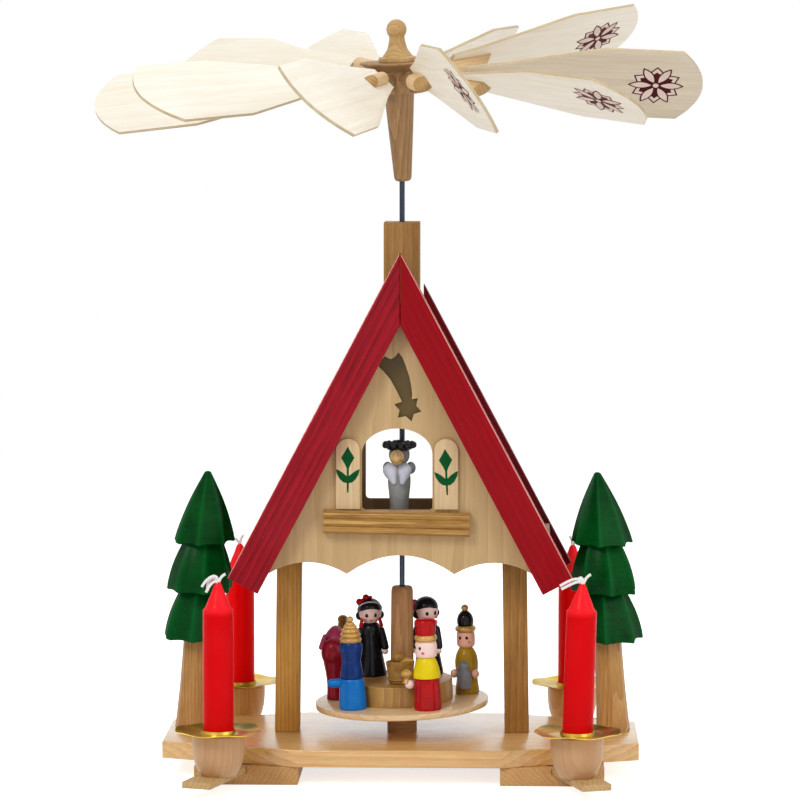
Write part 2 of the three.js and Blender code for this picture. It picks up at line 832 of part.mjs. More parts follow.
// A paddle drawn along +X: a stem under a thin blade that ends in an arc.
function paddleGeometry() {
  const edge = bladeOutline.map(([x, y]) => [x, -y]);
  const [tipX, tipY] = bladeOutline[bladeOutline.length - 1];
  const rise = bladeReach - tipX;
  for (let i = 1; i < bladeSteps; i++) {
    const y = tipY * (2 * i / bladeSteps - 1);
    edge.push([tipX + rise * (1 - (y / tipY) ** 2), y]);
  }
  for (const [x, y] of [...bladeOutline].reverse()) edge.push([x, y]);
  const blade = lying(outline(edge), bladeThickness, stemRadius - bladeThickness);
  const stem = turned([
    [0, spigotEnd],
    [spigotRadius, spigotEnd],
    [spigotRadius, hubRim + gap],
    [stemRadius, hubRim + gap],
    [stemRadius, stemEnd],
    [0, stemEnd],
  ], 12).rotateY(Math.PI / 2);
  const wedge = outline([
    [stemEnd + 1, -stemRadius - 1],
    [stemEnd + 1, stemRadius - bladeThickness],
    [stemEnd, stemRadius - bladeThickness],
    [stemEnd - stemBevel, -stemRadius - 1],
  ]);
  const bevel = upright(wedge, 4 * stemRadius, 2 * stemRadius);
  const above = block(stemEnd, 3 * stemRadius, 2, bladeRoot + stemEnd / 2, 0, stemRadius);
  return join(cut(stem, bevel, above), blade);
}

paddles.forEach(({ turn, pitch, droop }, i) => {
  const paddle = add(wheel, "paddle_" + (i + 1), paddleGeometry(), woods.birch);
  paddle.position.z = stemLevel;
  paddle.rotation.order = "ZYX";
  paddle.rotation.set(-pitch * rad, droop * rad, turn * rad);
});

export default carousel;
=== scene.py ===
# Dresses the wooden candle carousel: grained and stained wood, carved trees, wax candles, turned figures.
# Shapes are written in millimetres and made in metres, X to the right, Y to the back, Z up.
import json
import math

import bpy
from mathutils import Matrix, Vector


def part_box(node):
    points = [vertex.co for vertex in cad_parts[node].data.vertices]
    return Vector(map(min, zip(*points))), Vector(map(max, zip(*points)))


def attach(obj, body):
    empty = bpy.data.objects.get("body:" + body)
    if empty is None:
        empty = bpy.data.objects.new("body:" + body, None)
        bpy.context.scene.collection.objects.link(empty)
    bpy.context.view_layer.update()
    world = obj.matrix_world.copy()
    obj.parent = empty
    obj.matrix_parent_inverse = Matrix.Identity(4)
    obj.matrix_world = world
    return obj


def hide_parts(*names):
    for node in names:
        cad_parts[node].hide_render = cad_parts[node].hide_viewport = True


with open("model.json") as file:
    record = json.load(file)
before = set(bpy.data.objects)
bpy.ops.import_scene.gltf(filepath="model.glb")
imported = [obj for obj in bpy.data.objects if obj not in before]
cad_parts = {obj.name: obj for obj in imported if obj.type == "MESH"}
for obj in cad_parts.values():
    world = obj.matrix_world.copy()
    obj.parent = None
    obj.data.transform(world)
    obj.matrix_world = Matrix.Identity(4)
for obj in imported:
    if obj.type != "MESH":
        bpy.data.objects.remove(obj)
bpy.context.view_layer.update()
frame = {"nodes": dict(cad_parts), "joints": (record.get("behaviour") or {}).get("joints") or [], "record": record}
nodes = frame["nodes"]
behaviour = frame["record"]["behaviour"]
bodyOf = {node: body for body, members in behaviour["bodies"].items() for node in members}
joints = {joint["name"]: joint for joint in frame["joints"]}
mm = 0.001
rad = math.pi / 180
corners = ("front_left", "front_right", "back_left", "back_right")
print("frame loaded")


# Colours are written as they look, 0 to 255
def tint(red, green, blue):
    def channel(value):
        share = value / 255
        return share / 12.92 if share <= 0.04045 else ((share + 0.055) / 1.055) ** 2.4
    return (channel(red), channel(green), channel(blue), 1)


# Camera, lamps, floor
view = {"place": (0.05149, -1.77175, 0.32930), "down": 5.014, "turn": 1.695, "lens": 170.60}
lamps = [
    {"name": "key_lamp", "place": (-0.9, -1.5, 1.5), "size": 0.7, "watts": 17},
    {"name": "fill_lamp", "place": (1.4, -1.1, 0.8), "size": 1.2, "watts": 8},
    {"name": "top_lamp", "place": (0.2, 0.7, 1.7), "size": 1.2, "watts": 9},
]
lampAim = Vector((0, 0, 0.16))
backdrop = {"shade": 0.5, "floor": tint(246, 246, 246), "glow": 0.7, "size": 12, "fade": (0.5, 1.5)}

bpy.ops.object.camera_add(
    location=view["place"],
    rotation=((90 - view["down"]) * rad, 0, view["turn"] * rad),
)
camera = bpy.context.object
camera.name = "front_camera"
camera.data.lens = view["lens"]
camera.data.sensor_width = 36
camera.data.clip_end = 60
bpy.context.scene.camera = camera
bpy.context.scene.view_settings.view_transform = "Standard"

for lamp in lamps:
    bpy.ops.object.light_add(type="AREA", location=lamp["place"])
    light = bpy.context.object
    light.name = lamp["name"]
    light.data.energy = lamp["watts"]
    light.data.size = lamp["size"]
    aim = lampAim - Vector(lamp["place"])
    light.rotation_euler = aim.to_track_quat("-Z", "Y").to_euler()


# Small helpers for shader nodes: a value may be a number, a colour or another node's output
def addNode(tree, kind, values=None, **settings):
    made = tree.nodes.new(kind)
    for key, value in settings.items():
        setattr(made, key, value)
    for key, value in (values or {}).items():
        if isinstance(value, bpy.types.NodeSocket):
            tree.links.new(value, made.inputs[key])
        else:
            made.inputs[key].default_value = value
    return made


def sums(tree, operation, *values, clamp=False):
    made = addNode(tree, "ShaderNodeMath", dict(enumerate(values)), operation=operation, use_clamp=clamp)
    return made.outputs[0]


def vectors(tree, operation, values):
    return addNode(tree, "ShaderNodeVectorMath", values, operation=operation).outputs[0]


def mixed(tree, share, first, second):
    values = {0: share, 6: first, 7: second}
    return addNode(tree, "ShaderNodeMix", values, data_type="RGBA").outputs[2]


def spread(tree, value, low, high, first=0.0, last=1.0):
    values = {0: value, 1: low, 2: high, 3: first, 4: last}
    return addNode(tree, "ShaderNodeMapRange", values).outputs[0]


def noise(tree, place, scale, detail=2.0, **values):
    inputs = {"Vector": place, "Scale": scale, "Detail": detail, **values}
    return addNode(tree, "ShaderNodeTexNoise", inputs)


def stretched(tree, place, scale):
    return addNode(tree, "ShaderNodeMapping", {"Vector": place, "Scale": scale}).outputs[0]


# Links each value to the socket of its name, with spaces for underscores
def feed(node, **values):
    for label, value in values.items():
        node.id_data.links.new(value, node.inputs[label.replace("_", " ")])


def makeGroup(name, inputs, outputs):
    tree = bpy.data.node_groups.new(name, "ShaderNodeTree")
    for label, kind, value in inputs:
        socket = tree.interface.new_socket(name=label, in_out="INPUT", socket_type=kind)
        if value is not None:
            socket.default_value = value
    for label, kind in outputs:
        tree.interface.new_socket(name=label, in_out="OUTPUT", socket_type=kind)
    return tree, addNode(tree, "NodeGroupInput"), addNode(tree, "NodeGroupOutput")


def useGroup(tree, group, **values):
    made = addNode(tree, "ShaderNodeGroup", node_tree=group)
    for label, value in values.items():
        if isinstance(value, bpy.types.NodeSocket):
            tree.links.new(value, made.inputs[label])
        else:
            made.inputs[label].default_value = value
    return made


scalar, vector = "NodeSocketFloat", "NodeSocketVector"


# Wood: growth rings round the X axis, bent a little, with finer fibres and slow clouds of tone;
# the scales count per ring
rings = {"Scale": 0.314, "Distortion": 0.8, "Detail": 2.0, "Detail Scale": 1.3}
grainLook = {
    "drift": 0.28,
    "fibres": 2.6,
    "fibreDetail": 5.0,
    "fibreRoughness": 0.62,
    "fibreRange": (0.32, 0.68),
    "cloud": 0.11,
    "cloudRange": (0.3, 0.7),
    "cloudShade": 0.22,
    "ringRise": 0.35,
}


def makeWoodGrain():
    tree, given, result = makeGroup(
        "wood_grain",
        [
            ("Vector", vector, None), ("Spacing", scalar, 0.002), ("Waver", scalar, 0.6),
            ("Fibres", scalar, 0.45),
        ],
        [("Tone", scalar), ("Height", scalar)],
    )
    perMetre = sums(tree, "DIVIDE", 1.0, given.outputs["Spacing"])
    units = vectors(tree, "SCALE", {0: given.outputs["Vector"], "Scale": perMetre})
    drift = noise(tree, units, grainLook["drift"]).outputs["Color"]
    centred = vectors(tree, "SUBTRACT", {0: drift, 1: (0.5, 0.5, 0.5)})
    pushed = vectors(tree, "SCALE", {0: centred, "Scale": given.outputs["Waver"]})
    bent = vectors(tree, "ADD", {0: units, 1: pushed})
    wave = {"wave_type": "RINGS", "rings_direction": "X", "wave_profile": "SAW"}
    ring = addNode(tree, "ShaderNodeTexWave", {"Vector": bent, **rings}, **wave).outputs["Fac"]
    detail, rough = grainLook["fibreDetail"], grainLook["fibreRoughness"]
    fibres = noise(tree, units, grainLook["fibres"], detail, Roughness=rough).outputs[0]
    cloud = noise(tree, units, grainLook["cloud"]).outputs[0]
    strands = spread(tree, fibres, *grainLook["fibreRange"])
    ringShare = sums(tree, "SUBTRACT", 1.0, given.outputs["Fibres"])
    ringTone = sums(tree, "MULTIPLY", ring, ringShare)
    tone = sums(tree, "MULTIPLY_ADD", strands, given.outputs["Fibres"], ringTone)
    shade = grainLook["cloudShade"]
    clouds = spread(tree, cloud, *grainLook["cloudRange"], -shade, shade)
    feed(
        result,
        Tone=sums(tree, "ADD", clouds, tone, clamp=True),
        Height=sums(tree, "MULTIPLY_ADD", ring, grainLook["ringRise"], strands),
    )
    return tree


# Handling: wide smudges, fine scuffs and small rubbed specks, each with its share of the size
# and the part of the noise that shows
handlingLook = {
    "smudge": (0.35, 0.65),
    "scuff": (0.56, 0.7),
    "scuffFineness": 9.0,
    "scuffBend": 0.7,
    "speck": (0.62, 0.7),
    "speckFineness": 22.0,
}


def makeHandling():
    tree, given, result = makeGroup(
        "handling",
        [("Vector", vector, None), ("Size", scalar, 0.02)],
        [("Smudge", scalar), ("Scuff", scalar), ("Speck", scalar)],
    )
    perMetre = sums(tree, "DIVIDE", 1.0, given.outputs["Size"])
    place = given.outputs["Vector"]
    smudge = noise(tree, place, perMetre, 3.0).outputs[0]
    fine = sums(tree, "MULTIPLY", perMetre, handlingLook["scuffFineness"])
    scuff = noise(tree, place, fine, 3.0, Distortion=handlingLook["scuffBend"]).outputs[0]
    finer = sums(tree, "MULTIPLY", perMetre, handlingLook["speckFineness"])
    speck = noise(tree, place, finer).outputs[0]
    feed(
        result,
        Smudge=spread(tree, smudge, *handlingLook["smudge"]),
        Scuff=spread(tree, scuff, *handlingLook["scuff"]),
        Speck=spread(tree, speck, *handlingLook["speck"]),
    )
    return tree


# Brushwork: strokes that run round a piece, over wider pools of paint
brushLook = {"along": 0.22, "roughness": 0.6, "pools": 0.16, "poolRange": (0.3, 0.7), "poolRise": 0.8}


def makeBrushwork():
    tree, given, result = makeGroup(
        "brushwork",
        [("Vector", vector, None), ("Stroke", scalar, 0.0012)],
        [("Tone", scalar), ("Height", scalar)],
    )
    perMetre = sums(tree, "DIVIDE", 1.0, given.outputs["Stroke"])
    place = given.outputs["Vector"]
    flat = stretched(tree, place, (brushLook["along"], brushLook["along"], 1.0))
    strokes = noise(tree, flat, perMetre, 3.0, Roughness=brushLook["roughness"]).outputs[0]
    pools = noise(tree, place, sums(tree, "MULTIPLY", perMetre, brushLook["pools"])).outputs[0]
    halfStrokes = sums(tree, "MULTIPLY", strokes, 0.5)
    feed(
        result,
        Tone=sums(tree, "MULTIPLY_ADD", spread(tree, pools, *brushLook["poolRange"]), 0.5, halfStrokes),
        Height=sums(tree, "MULTIPLY_ADD", pools, brushLook["poolRise"], strokes),
    )
    return tree


woodGrain = makeWoodGrain()
handling = makeHandling()
brushwork = makeBrushwork()


def emptyTree(owner):
    owner.use_nodes = True
    owner.node_tree.nodes.clear()
    return owner.node_tree


def newFinish(name, **values):
    material = bpy.data.materials.new(name)
    tree = emptyTree(material)
    settings = {label.replace("_", " "): value for label, value in values.items()}
    shader = addNode(tree, "ShaderNodeBsdfPrincipled", settings)
    addNode(tree, "ShaderNodeOutputMaterial", {0: shader.outputs[0]})
    return material, tree, shader


def objectPlace(tree):
    return addNode(tree, "ShaderNodeTexCoord").outputs["Object"]


def bump(tree, height, depth):
    return addNode(tree, "ShaderNodeBump", {"Height": height, "Distance": depth * mm}).outputs[0]


def roughness(tree, share, least, most):
    return spread(tree, share, 0.0, 1.0, least, most)


rippleLook = {"scale": 420.0, "roughness": 0.65}
edgeFade = (0.5, 0.6)


# The grain runs along X once turned by look["turn"] degrees, round a heart at look["heart"] mm;
# look["sunk"] gives the depth, half width and least height in mm of a sunk floor with its own tones
def wood(name, darkTone, lightTone, **look):
    dark, light = tint(*darkTone), tint(*lightTone)
    material, tree, shader = newFinish(
        name,
        Coat_Weight=look.get("coat", 0.0),
        Coat_Roughness=look.get("coatRoughness", 0.12),
        Specular_IOR_Level=look.get("shine", 0.3),
    )
    if look.get("ownGrain"):
        place = addNode(tree, "ShaderNodeAttribute", attribute_name="grain").outputs["Vector"]
    else:
        place = objectPlace(tree)
    turn = [angle * rad for angle in look.get("turn", (0, 0, 0))]
    heart = [value * mm for value in look.get("heart", (13, 31, -44))]
    scale = (look.get("stretch", 16.0), 1.0, 1.0)
    values = {"Vector": place, "Location": heart, "Rotation": turn, "Scale": scale}
    mapping = addNode(tree, "ShaderNodeMapping", values, vector_type="TEXTURE")
    grain = useGroup(
        tree,
        woodGrain,
        Vector=mapping.outputs[0],
        Spacing=look.get("spacing", 2.2) * mm,
        Waver=look.get("waver", 1.2),
        Fibres=look.get("fibres", 0.5),
    )
    marks = useGroup(tree, handling, Vector=place, Size=look.get("smudge", 26) * mm)
    colour = mixed(tree, grain.outputs["Tone"], light, dark)
    # Darker patches from the handling noise: soil, and on the right post also painted shade
    soil = sums(tree, "MULTIPLY", marks.outputs["Smudge"], look.get("soil", 0.12))
    soiled = mixed(tree, soil, colour, dark)
    # Painted shade: faces that look across the edge axis, the cut edges round the window and the comet, take the
    # darker edge colour
    if "edgeColour" in look:
        facing = addNode(tree, "ShaderNodeNewGeometry").outputs["Normal"]
        normal = addNode(tree, "ShaderNodeSeparateXYZ", {0: facing})
        across = sums(tree, "ABSOLUTE", normal.outputs[look["edgeAxis"]])
        soiled = mixed(tree, spread(tree, across, *edgeFade), tint(*look["edgeColour"]), soiled)
    if "sunk" in look:
        level, reach, above = look["sunk"]
        spot = addNode(tree, "ShaderNodeSeparateXYZ", {0: place})
        inside = sums(tree, "COMPARE", spot.outputs[1], level * mm, reach * mm)
        higher = sums(tree, "GREATER_THAN", spot.outputs[2], above * mm)
        tone = mixed(tree, marks.outputs["Smudge"], *(tint(*colour) for colour in look["sunkColours"]))
        soiled = mixed(tree, sums(tree, "MULTIPLY", inside, higher), soiled, tone)
    rough = roughness(tree, marks.outputs["Smudge"], *look.get("roughness", (0.38, 0.55)))
    feed(
        shader,
        Base_Color=soiled,
        Roughness=sums(tree, "MULTIPLY_ADD", grain.outputs["Height"], 0.06, rough),
        Normal=bump(tree, grain.outputs["Height"], look.get("relief", 0.05)),
    )
    if "ripple" in look:
        long = stretched(tree, place, (0.3, 1.0, 1.0))
        uneven = noise(tree, long, rippleLook["scale"], 4.0, Roughness=rippleLook["roughness"]).outputs[0]
        feed(shader, Coat_Normal=bump(tree, uneven, look["ripple"]))
    return material


# Paint: two tones brushed round the piece, with a few rubbed specks
def paint(name, darkTone, lightTone, **look):
    material, tree, shader = newFinish(
        name,
        Coat_Weight=look.get("coat", 0.15),
        Coat_Roughness=0.12,
        Specular_IOR_Level=look.get("shine", 0.08),
    )
    place = objectPlace(tree)
    strokes = useGroup(tree, brushwork, Vector=place, Stroke=look.get("stroke", 1.2) * mm)
    marks = useGroup(tree, handling, Vector=place, Size=look.get("smudge", 9) * mm)
    colour = mixed(tree, strokes.outputs["Tone"], tint(*darkTone), tint(*lightTone))
    rub = sums(tree, "MULTIPLY", marks.outputs["Speck"], look.get("rub", 0.35))
    feed(
        shader,
        Base_Color=mixed(tree, rub, colour, tint(*look.get("under", lightTone))),
        Roughness=roughness(tree, marks.outputs["Smudge"], *look.get("roughness", (0.28, 0.42))),
        Normal=bump(tree, strokes.outputs["Height"], look.get("relief", 0.05)),
    )
    return material


grainUp, grainBack = (0, 90, 0), (0, 0, 90)
woods = {
    "varnish": wood(
        "varnished_plate", (206, 152, 80), (240, 198, 134), spacing=2.6, coat=1.0, coatRoughness=0.06,
        relief=0.03, ripple=0.35, roughness=(0.25, 0.4),
    ),
    "foot": wood(
        "beech_batten", (190, 138, 78), (224, 180, 122), turn=grainBack, spacing=1.9, waver=2.0, relief=0.06
    ),
    "post": wood(
        "brown_post", (158, 106, 36), (206, 154, 74), turn=grainUp, heart=(22, 35, 0), spacing=1.7,
        waver=1.6,
    ),
    # Painted shade: the right post takes a darker, more blotched copy of the post wood
    "postPaintedShade": wood(
        "shaded_post", (132, 88, 36), (184, 136, 68), turn=grainUp, heart=(22, 35, 0), spacing=2.2,
        waver=2.2, soil=0.5, smudge=14,
    ),
    "block": wood(
        "brown_block", (132, 92, 42), (172, 128, 70), turn=grainUp, heart=(14, 30, 0), spacing=1.5
    ),
    "gable": wood(
        "gable_ply", (184, 152, 104), (204, 174, 128), turn=grainUp, heart=(4, 90, 0), spacing=3.4,
        waver=2.6, fibres=0.4, relief=0.03, edgeAxis=1, edgeColour=(150, 116, 70), sunk=(-22.3, 0.9, 164),
        sunkColours=((74, 58, 28), (94, 76, 40)),
    ),
    "shutter": wood(
        "shutter_ply", (200, 168, 124), (224, 198, 156), turn=grainUp, heart=(9, 60, 0), spacing=2.6,
        fibres=0.6, relief=0.03,
    ),
    "sill": wood("ridged_sill", (128, 84, 28), (214, 170, 98), spacing=1.6, heart=(0, 20, 100)),
    "arm": wood("arm_strip", (176, 138, 86), (212, 178, 126), turn=grainBack, spacing=1.8),
    "cup": wood(
        "turned_cup", (190, 146, 104), (202, 160, 118), turn=grainUp, heart=(40, 30, 0), spacing=2.4,
        fibres=0.25, roughness=(0.3, 0.45), relief=0.01,
    ),
    # Painted light: the back cups take a lighter, warmer copy of the cup wood to make up for their shade
    "cupBackLit": wood(
        "painted_light_cup", (204, 144, 76), (226, 172, 104), turn=grainUp, heart=(40, 30, 0), spacing=2.0,
        fibres=0.4, roughness=(0.3, 0.45), relief=0.02,
    ),
    "disc": wood(
        "table_birch", (208, 170, 116), (238, 208, 162), spacing=2.4, coat=0.6, coatRoughness=0.08,
        roughness=(0.28, 0.4),
    ),
    "platform": wood(
        "platform_beech", (144, 102, 40), (194, 148, 78), turn=grainUp, heart=(40, 40, 0), spacing=2.0,
        coat=0.3,
    ),
    "column": wood(
        "column_brown", (140, 94, 52), (186, 138, 90), turn=grainUp, heart=(6, 12, 0), spacing=1.5
    ),
    "hub": wood(
        "hub_brown", (120, 84, 46), (176, 138, 94), turn=grainUp, heart=(9, 16, 0), spacing=1.6,
        relief=0.06, ownGrain=True,
    ),
    "finial": wood(
        "finial_brown", (164, 126, 72), (212, 176, 120), turn=grainUp, heart=(3, 6, 0), spacing=1.2,
        ownGrain=True,
    ),
    "paddle": wood(
        "paddle_ply", (240, 229, 208), (251, 246, 234), heart=(5, 3, -130), spacing=3.6, waver=2.2,
        fibres=0.6, relief=0.02, soil=0.05, ownGrain=True, roughness=(0.45, 0.6),
    ),
    # Painted shade: a darker, yellower copy of the blade wood for the one blade whose underside lies in shadow
    "paddlePaintedShade": wood(
        "shaded_ply", (204, 188, 164), (224, 210, 188), heart=(5, 3, -130), spacing=3.6, waver=2.2,
        fibres=0.6, relief=0.02, ownGrain=True, roughness=(0.45, 0.6),
    ),
    "paddleEdge": wood(
        "paddle_ply_edge", (182, 160, 122), (226, 208, 174), heart=(5, 3, -30), spacing=0.5, ownGrain=True
    ),
    "stem": wood(
        "stem_dowel", (204, 164, 110), (238, 208, 162), heart=(0, 6, -9), spacing=1.5, ownGrain=True
    ),
    # Painted shade: the loft floor wood is darker for the shade under the roof
    "loft": wood("shaded_loft_board", (118, 86, 48), (160, 124, 78), spacing=2.2),
    "plain": wood("hidden_beech", (150, 104, 56), (186, 140, 88), spacing=2.0),
    # Painted shade: the back gable is given a dark brown for the shade inside the house
    "dark": wood(
        "painted_shade_back", (70, 50, 26), (106, 80, 48), turn=grainUp, heart=(4, 90, 0), spacing=3.0,
        roughness=(0.55, 0.7),
    ),
    "redLeft": wood(
        "red_board_left", (100, 0, 12), (172, 14, 36), turn=(0, -62.1, 0), heart=(0, -60, 20), spacing=3.6,
        waver=1.8, relief=0.16, roughness=(0.32, 0.5), shine=0.16,
    ),
    "redRight": wood(
        "red_board_right", (134, 0, 14), (164, 4, 20), turn=(0, 62.1, 0), heart=(0, -70, 30), spacing=3.0,
        relief=0.04, roughness=(0.3, 0.42), shine=0.12,
    ),
    # Painted shade: the back boards take a darker copy of the red paint
    "redBackShaded": wood(
        "shaded_red_board_back", (84, 2, 10), (128, 8, 20), turn=(0, 62.1, 0), heart=(0, 70, 30), spacing=2.6,
        relief=0.06, shine=0.12,
    ),
    # Pale pink on the front boards' outer arris: worn paint there, with a painted highlight where light catches
    # the edge
    "redEdgeWornAndLit": wood(
        "worn_and_lit_red_edge", (196, 90, 84), (250, 188, 172), turn=(0, 62.1, 0), spacing=2.6,
        roughness=(0.35, 0.5),
    ),
    "trunk": wood(
        "bare_trunk", (156, 106, 50), (204, 156, 92), turn=grainUp, heart=(95, 10, 0), spacing=1.5,
        relief=0.12,
    ),
}

paints = {
    "grey": paint("grey_gown", (100, 100, 98), (156, 158, 156)),
    "sleeve": paint("sleeve_grey_blue", (172, 176, 192), (218, 218, 230)),
    "black": paint("black_paint", (8, 8, 11), (26, 25, 30), under=(60, 52, 50), coat=0.25),
    "gold": paint("gold_paint", (142, 92, 22), (230, 182, 84), roughness=(0.2, 0.32), shine=0.6, coat=0.4),
    "bell": paint(
        "mottled_gold", (84, 54, 24), (236, 194, 112), stroke=0.9, relief=0.3, roughness=(0.2, 0.32),
        shine=0.6, coat=0.4,
    ),
    "blue": paint("dark_blue_paint", (0, 30, 84), (4, 58, 134), coat=0.18),
    "paleBlue": paint("light_blue_paint", (2, 96, 178), (12, 124, 208), coat=0.18),
    "red": paint("red_paint", (150, 2, 8), (196, 8, 14), coat=0.18),
    "crimson": paint("crimson_paint", (104, 6, 22), (150, 18, 40)),
    "saddle": paint("saddle_paint", (128, 26, 58), (178, 66, 96), relief=0.2, stroke=0.7),
    "yellow": paint("yellow_paint", (222, 196, 0), (244, 222, 14), coat=0.18),
    "mustard": paint("mustard_paint", (138, 104, 10), (182, 144, 34)),
    "skin": paint("skin_paint", (222, 164, 140), (240, 192, 168), roughness=(0.35, 0.5)),
    # Paler skin: partly the figures' own pale paint, partly painted light for the women's faces in the shade under
    # the house
    "skinPaleAndLit": paint("pale_lit_skin_paint", (246, 208, 198), (254, 228, 220), roughness=(0.3, 0.45)),
    "cheek": paint("cheek_paint", (222, 96, 110), (236, 124, 132), rub=0.1),
    "lips": paint("lip_paint", (160, 20, 34), (190, 34, 46), rub=0.1),
    "pink": paint("pink_paint", (184, 54, 96), (226, 104, 140)),
    "tulip": paint("tulip_green", (0, 62, 26), (2, 88, 42), coat=0.0),
    "print": paint("maroon_print", (58, 8, 14), (84, 16, 22), coat=0.0, roughness=(0.5, 0.6)),
    "printPale": paint("pale_pink_print", (218, 194, 180), (234, 214, 202), coat=0.0, roughness=(0.5, 0.6)),
    "vessel": paint("grey_vessel", (84, 84, 90), (150, 150, 156)),
    "basket": paint("gold_brown_basket", (126, 84, 30), (188, 142, 74), relief=0.14, stroke=0.6),
}


def makeBrass():
    material, tree, shader = newFinish("polished_brass", Metallic=1.0)
    place = objectPlace(tree)
    marks = useGroup(tree, handling, Vector=place, Size=0.012)
    feed(
        shader,
        Base_Color=mixed(tree, marks.outputs["Smudge"], tint(226, 192, 84), tint(170, 136, 40)),
        Roughness=roughness(tree, marks.outputs["Scuff"], 0.28, 0.34),
        Normal=bump(tree, noise(tree, place, 110.0).outputs[0], 0.012),
    )
    return material


def makeSteel():
    material, tree, shader = newFinish("drawn_steel", Metallic=1.0)
    place = objectPlace(tree)
    long = stretched(tree, place, (1.0, 1.0, 0.05))
    streaks = noise(tree, long, 2600.0).outputs[0]
    marks = useGroup(tree, handling, Vector=place, Size=0.02)
    feed(
        shader,
        Base_Color=mixed(tree, streaks, tint(38, 44, 52), tint(74, 80, 90)),
        Roughness=roughness(tree, marks.outputs["Smudge"], 0.26, 0.42),
        Normal=bump(tree, streaks, 0.01),
    )
    return material


# Red wax: deeper at the foot, brighter from the shoulder up; the heights are in metres above the floor
waxHeights = {"foot": 0.022, "body": 0.05, "shoulder": 0.0815, "cone": 0.085}


def makeWax(name, low, high):
    material, tree, shader = newFinish(
        name,
        Subsurface_Weight=0.2,
        Subsurface_Scale=0.004,
        Coat_Weight=0.06,
        Coat_Roughness=0.16,
        Specular_IOR_Level=0.02,
    )
    shader.inputs["Subsurface Radius"].default_value = (1.0, 0.25, 0.15)
    place = objectPlace(tree)
    height = addNode(tree, "ShaderNodeSeparateXYZ", {0: place}).outputs[2]
    marks = useGroup(tree, handling, Vector=place, Size=0.016)
    body = mixed(tree, spread(tree, height, waxHeights["foot"], waxHeights["body"]), low, high)
    cone = spread(tree, height, waxHeights["shoulder"], waxHeights["cone"])
    tip = mixed(tree, cone, body, tint(252, 34, 44))
    bloom = sums(tree, "MULTIPLY", marks.outputs["Smudge"], 0.06)
    feed(
        shader,
        Base_Color=mixed(tree, bloom, tip, tint(246, 60, 60)),
        Roughness=roughness(tree, marks.outputs["Smudge"], 0.3, 0.42),
        Normal=bump(tree, marks.outputs["Smudge"], 0.08),
    )
    return material


def makeCotton():
    material, tree, shader = newFinish("cotton_strand", Sheen_Weight=0.3)
    place = objectPlace(tree)
    weave = {"Vector": place, "Scale": 420.0, "Distortion": 6.0, "Detail": 2.0}
    twist = addNode(tree, "ShaderNodeTexWave", weave).outputs["Fac"]
    marks = useGroup(tree, handling, Vector=place, Size=0.004)
    feed(
        shader,
        Base_Color=mixed(tree, twist, tint(226, 220, 216), tint(253, 251, 250)),
        Roughness=roughness(tree, marks.outputs["Smudge"], 0.7, 0.9),
        Normal=bump(tree, twist, 0.06),
    )
    return material


# Carved trees: green paint with a painted highlight along the ridges between the knife cuts
def makeTreeGreen():
    gloss = {"Coat_Weight": 0.12, "Coat_Roughness": 0.3, "Specular_IOR_Level": 0.0}
    material, tree, shader = newFinish("tree_green", **gloss)
    place = objectPlace(tree)
    ridge = addNode(tree, "ShaderNodeAttribute", attribute_name="ridge").outputs["Fac"]
    strokes = useGroup(tree, brushwork, Vector=place, Stroke=0.0022)
    marks = useGroup(tree, handling, Vector=place, Size=0.014)
    colour = mixed(tree, strokes.outputs["Tone"], tint(0, 30, 10), tint(0, 84, 26))
    ridgeHighlight = mixed(tree, sums(tree, "MULTIPLY", ridge, 0.4), colour, tint(8, 112, 46))
    rub = sums(tree, "MULTIPLY", marks.outputs["Speck"], 0.12)
    feed(
        shader,
        Base_Color=mixed(tree, rub, ridgeHighlight, tint(70, 140, 86)),
        Roughness=roughness(tree, marks.outputs["Smudge"], 0.38, 0.56),
        Normal=bump(tree, strokes.outputs["Height"], 0.22),
    )
    return material


brass, steel, cotton, treeGreen = makeBrass(), makeSteel(), makeCotton(), makeTreeGreen()
waxes = {
    "front": makeWax("red_wax", tint(206, 0, 0), tint(216, 0, 8)),
    # Painted light: the back candles take a brighter red wax to make up for their shade
    "back": makeWax("painted_light_red_wax", tint(252, 2, 2), tint(255, 2, 6)),
}


# 1 for what the camera sees, straight or in a shiny or clear surface
def seenRays(tree):
    rays = addNode(tree, "ShaderNodeLightPath")
    shiny = sums(tree, "MAXIMUM", rays.outputs["Is Glossy Ray"], rays.outputs["Is Transmission Ray"])
    return sums(tree, "MAXIMUM", rays.outputs["Is Camera Ray"], shiny)


# The floor glows a little for the camera, so that it ends white and still holds the shadow
def makeFloor():
    material = bpy.data.materials.new("pale_floor")
    tree = emptyTree(material)
    seen = seenRays(tree)
    matt = addNode(tree, "ShaderNodeBsdfDiffuse", {"Color": backdrop["floor"]})
    strength = sums(tree, "MULTIPLY", seen, backdrop["glow"])
    glow = addNode(tree, "ShaderNodeEmission", {"Color": (1, 1, 1, 1), "Strength": strength})
    both = addNode(tree, "ShaderNodeAddShader", {0: matt.outputs[0], 1: glow.outputs[0]})
    length = addNode(tree, "ShaderNodeVectorMath", {0: objectPlace(tree)}, operation="LENGTH")
    away = length.outputs["Value"]
    share = sums(tree, "MULTIPLY", seen, spread(tree, away, *backdrop["fade"]))
    white = addNode(tree, "ShaderNodeEmission", {"Color": (1, 1, 1, 1)})
    faded = addNode(tree, "ShaderNodeMixShader", {0: share, 1: both.outputs[0], 2: white.outputs[0]})
    addNode(tree, "ShaderNodeOutputMaterial", {0: faded.outputs[0]})
    return material


def makeWorld():
    world = bpy.data.worlds.new("studio")
    tree = emptyTree(world)
    strength = spread(tree, seenRays(tree), 0.0, 1.0, backdrop["shade"], 1.0)
    light = addNode(tree, "ShaderNodeBackground", {"Color": (1, 1, 1, 1), "Strength": strength})
    addNode(tree, "ShaderNodeOutputWorld", {0: light.outputs[0]})
    bpy.context.scene.world = world


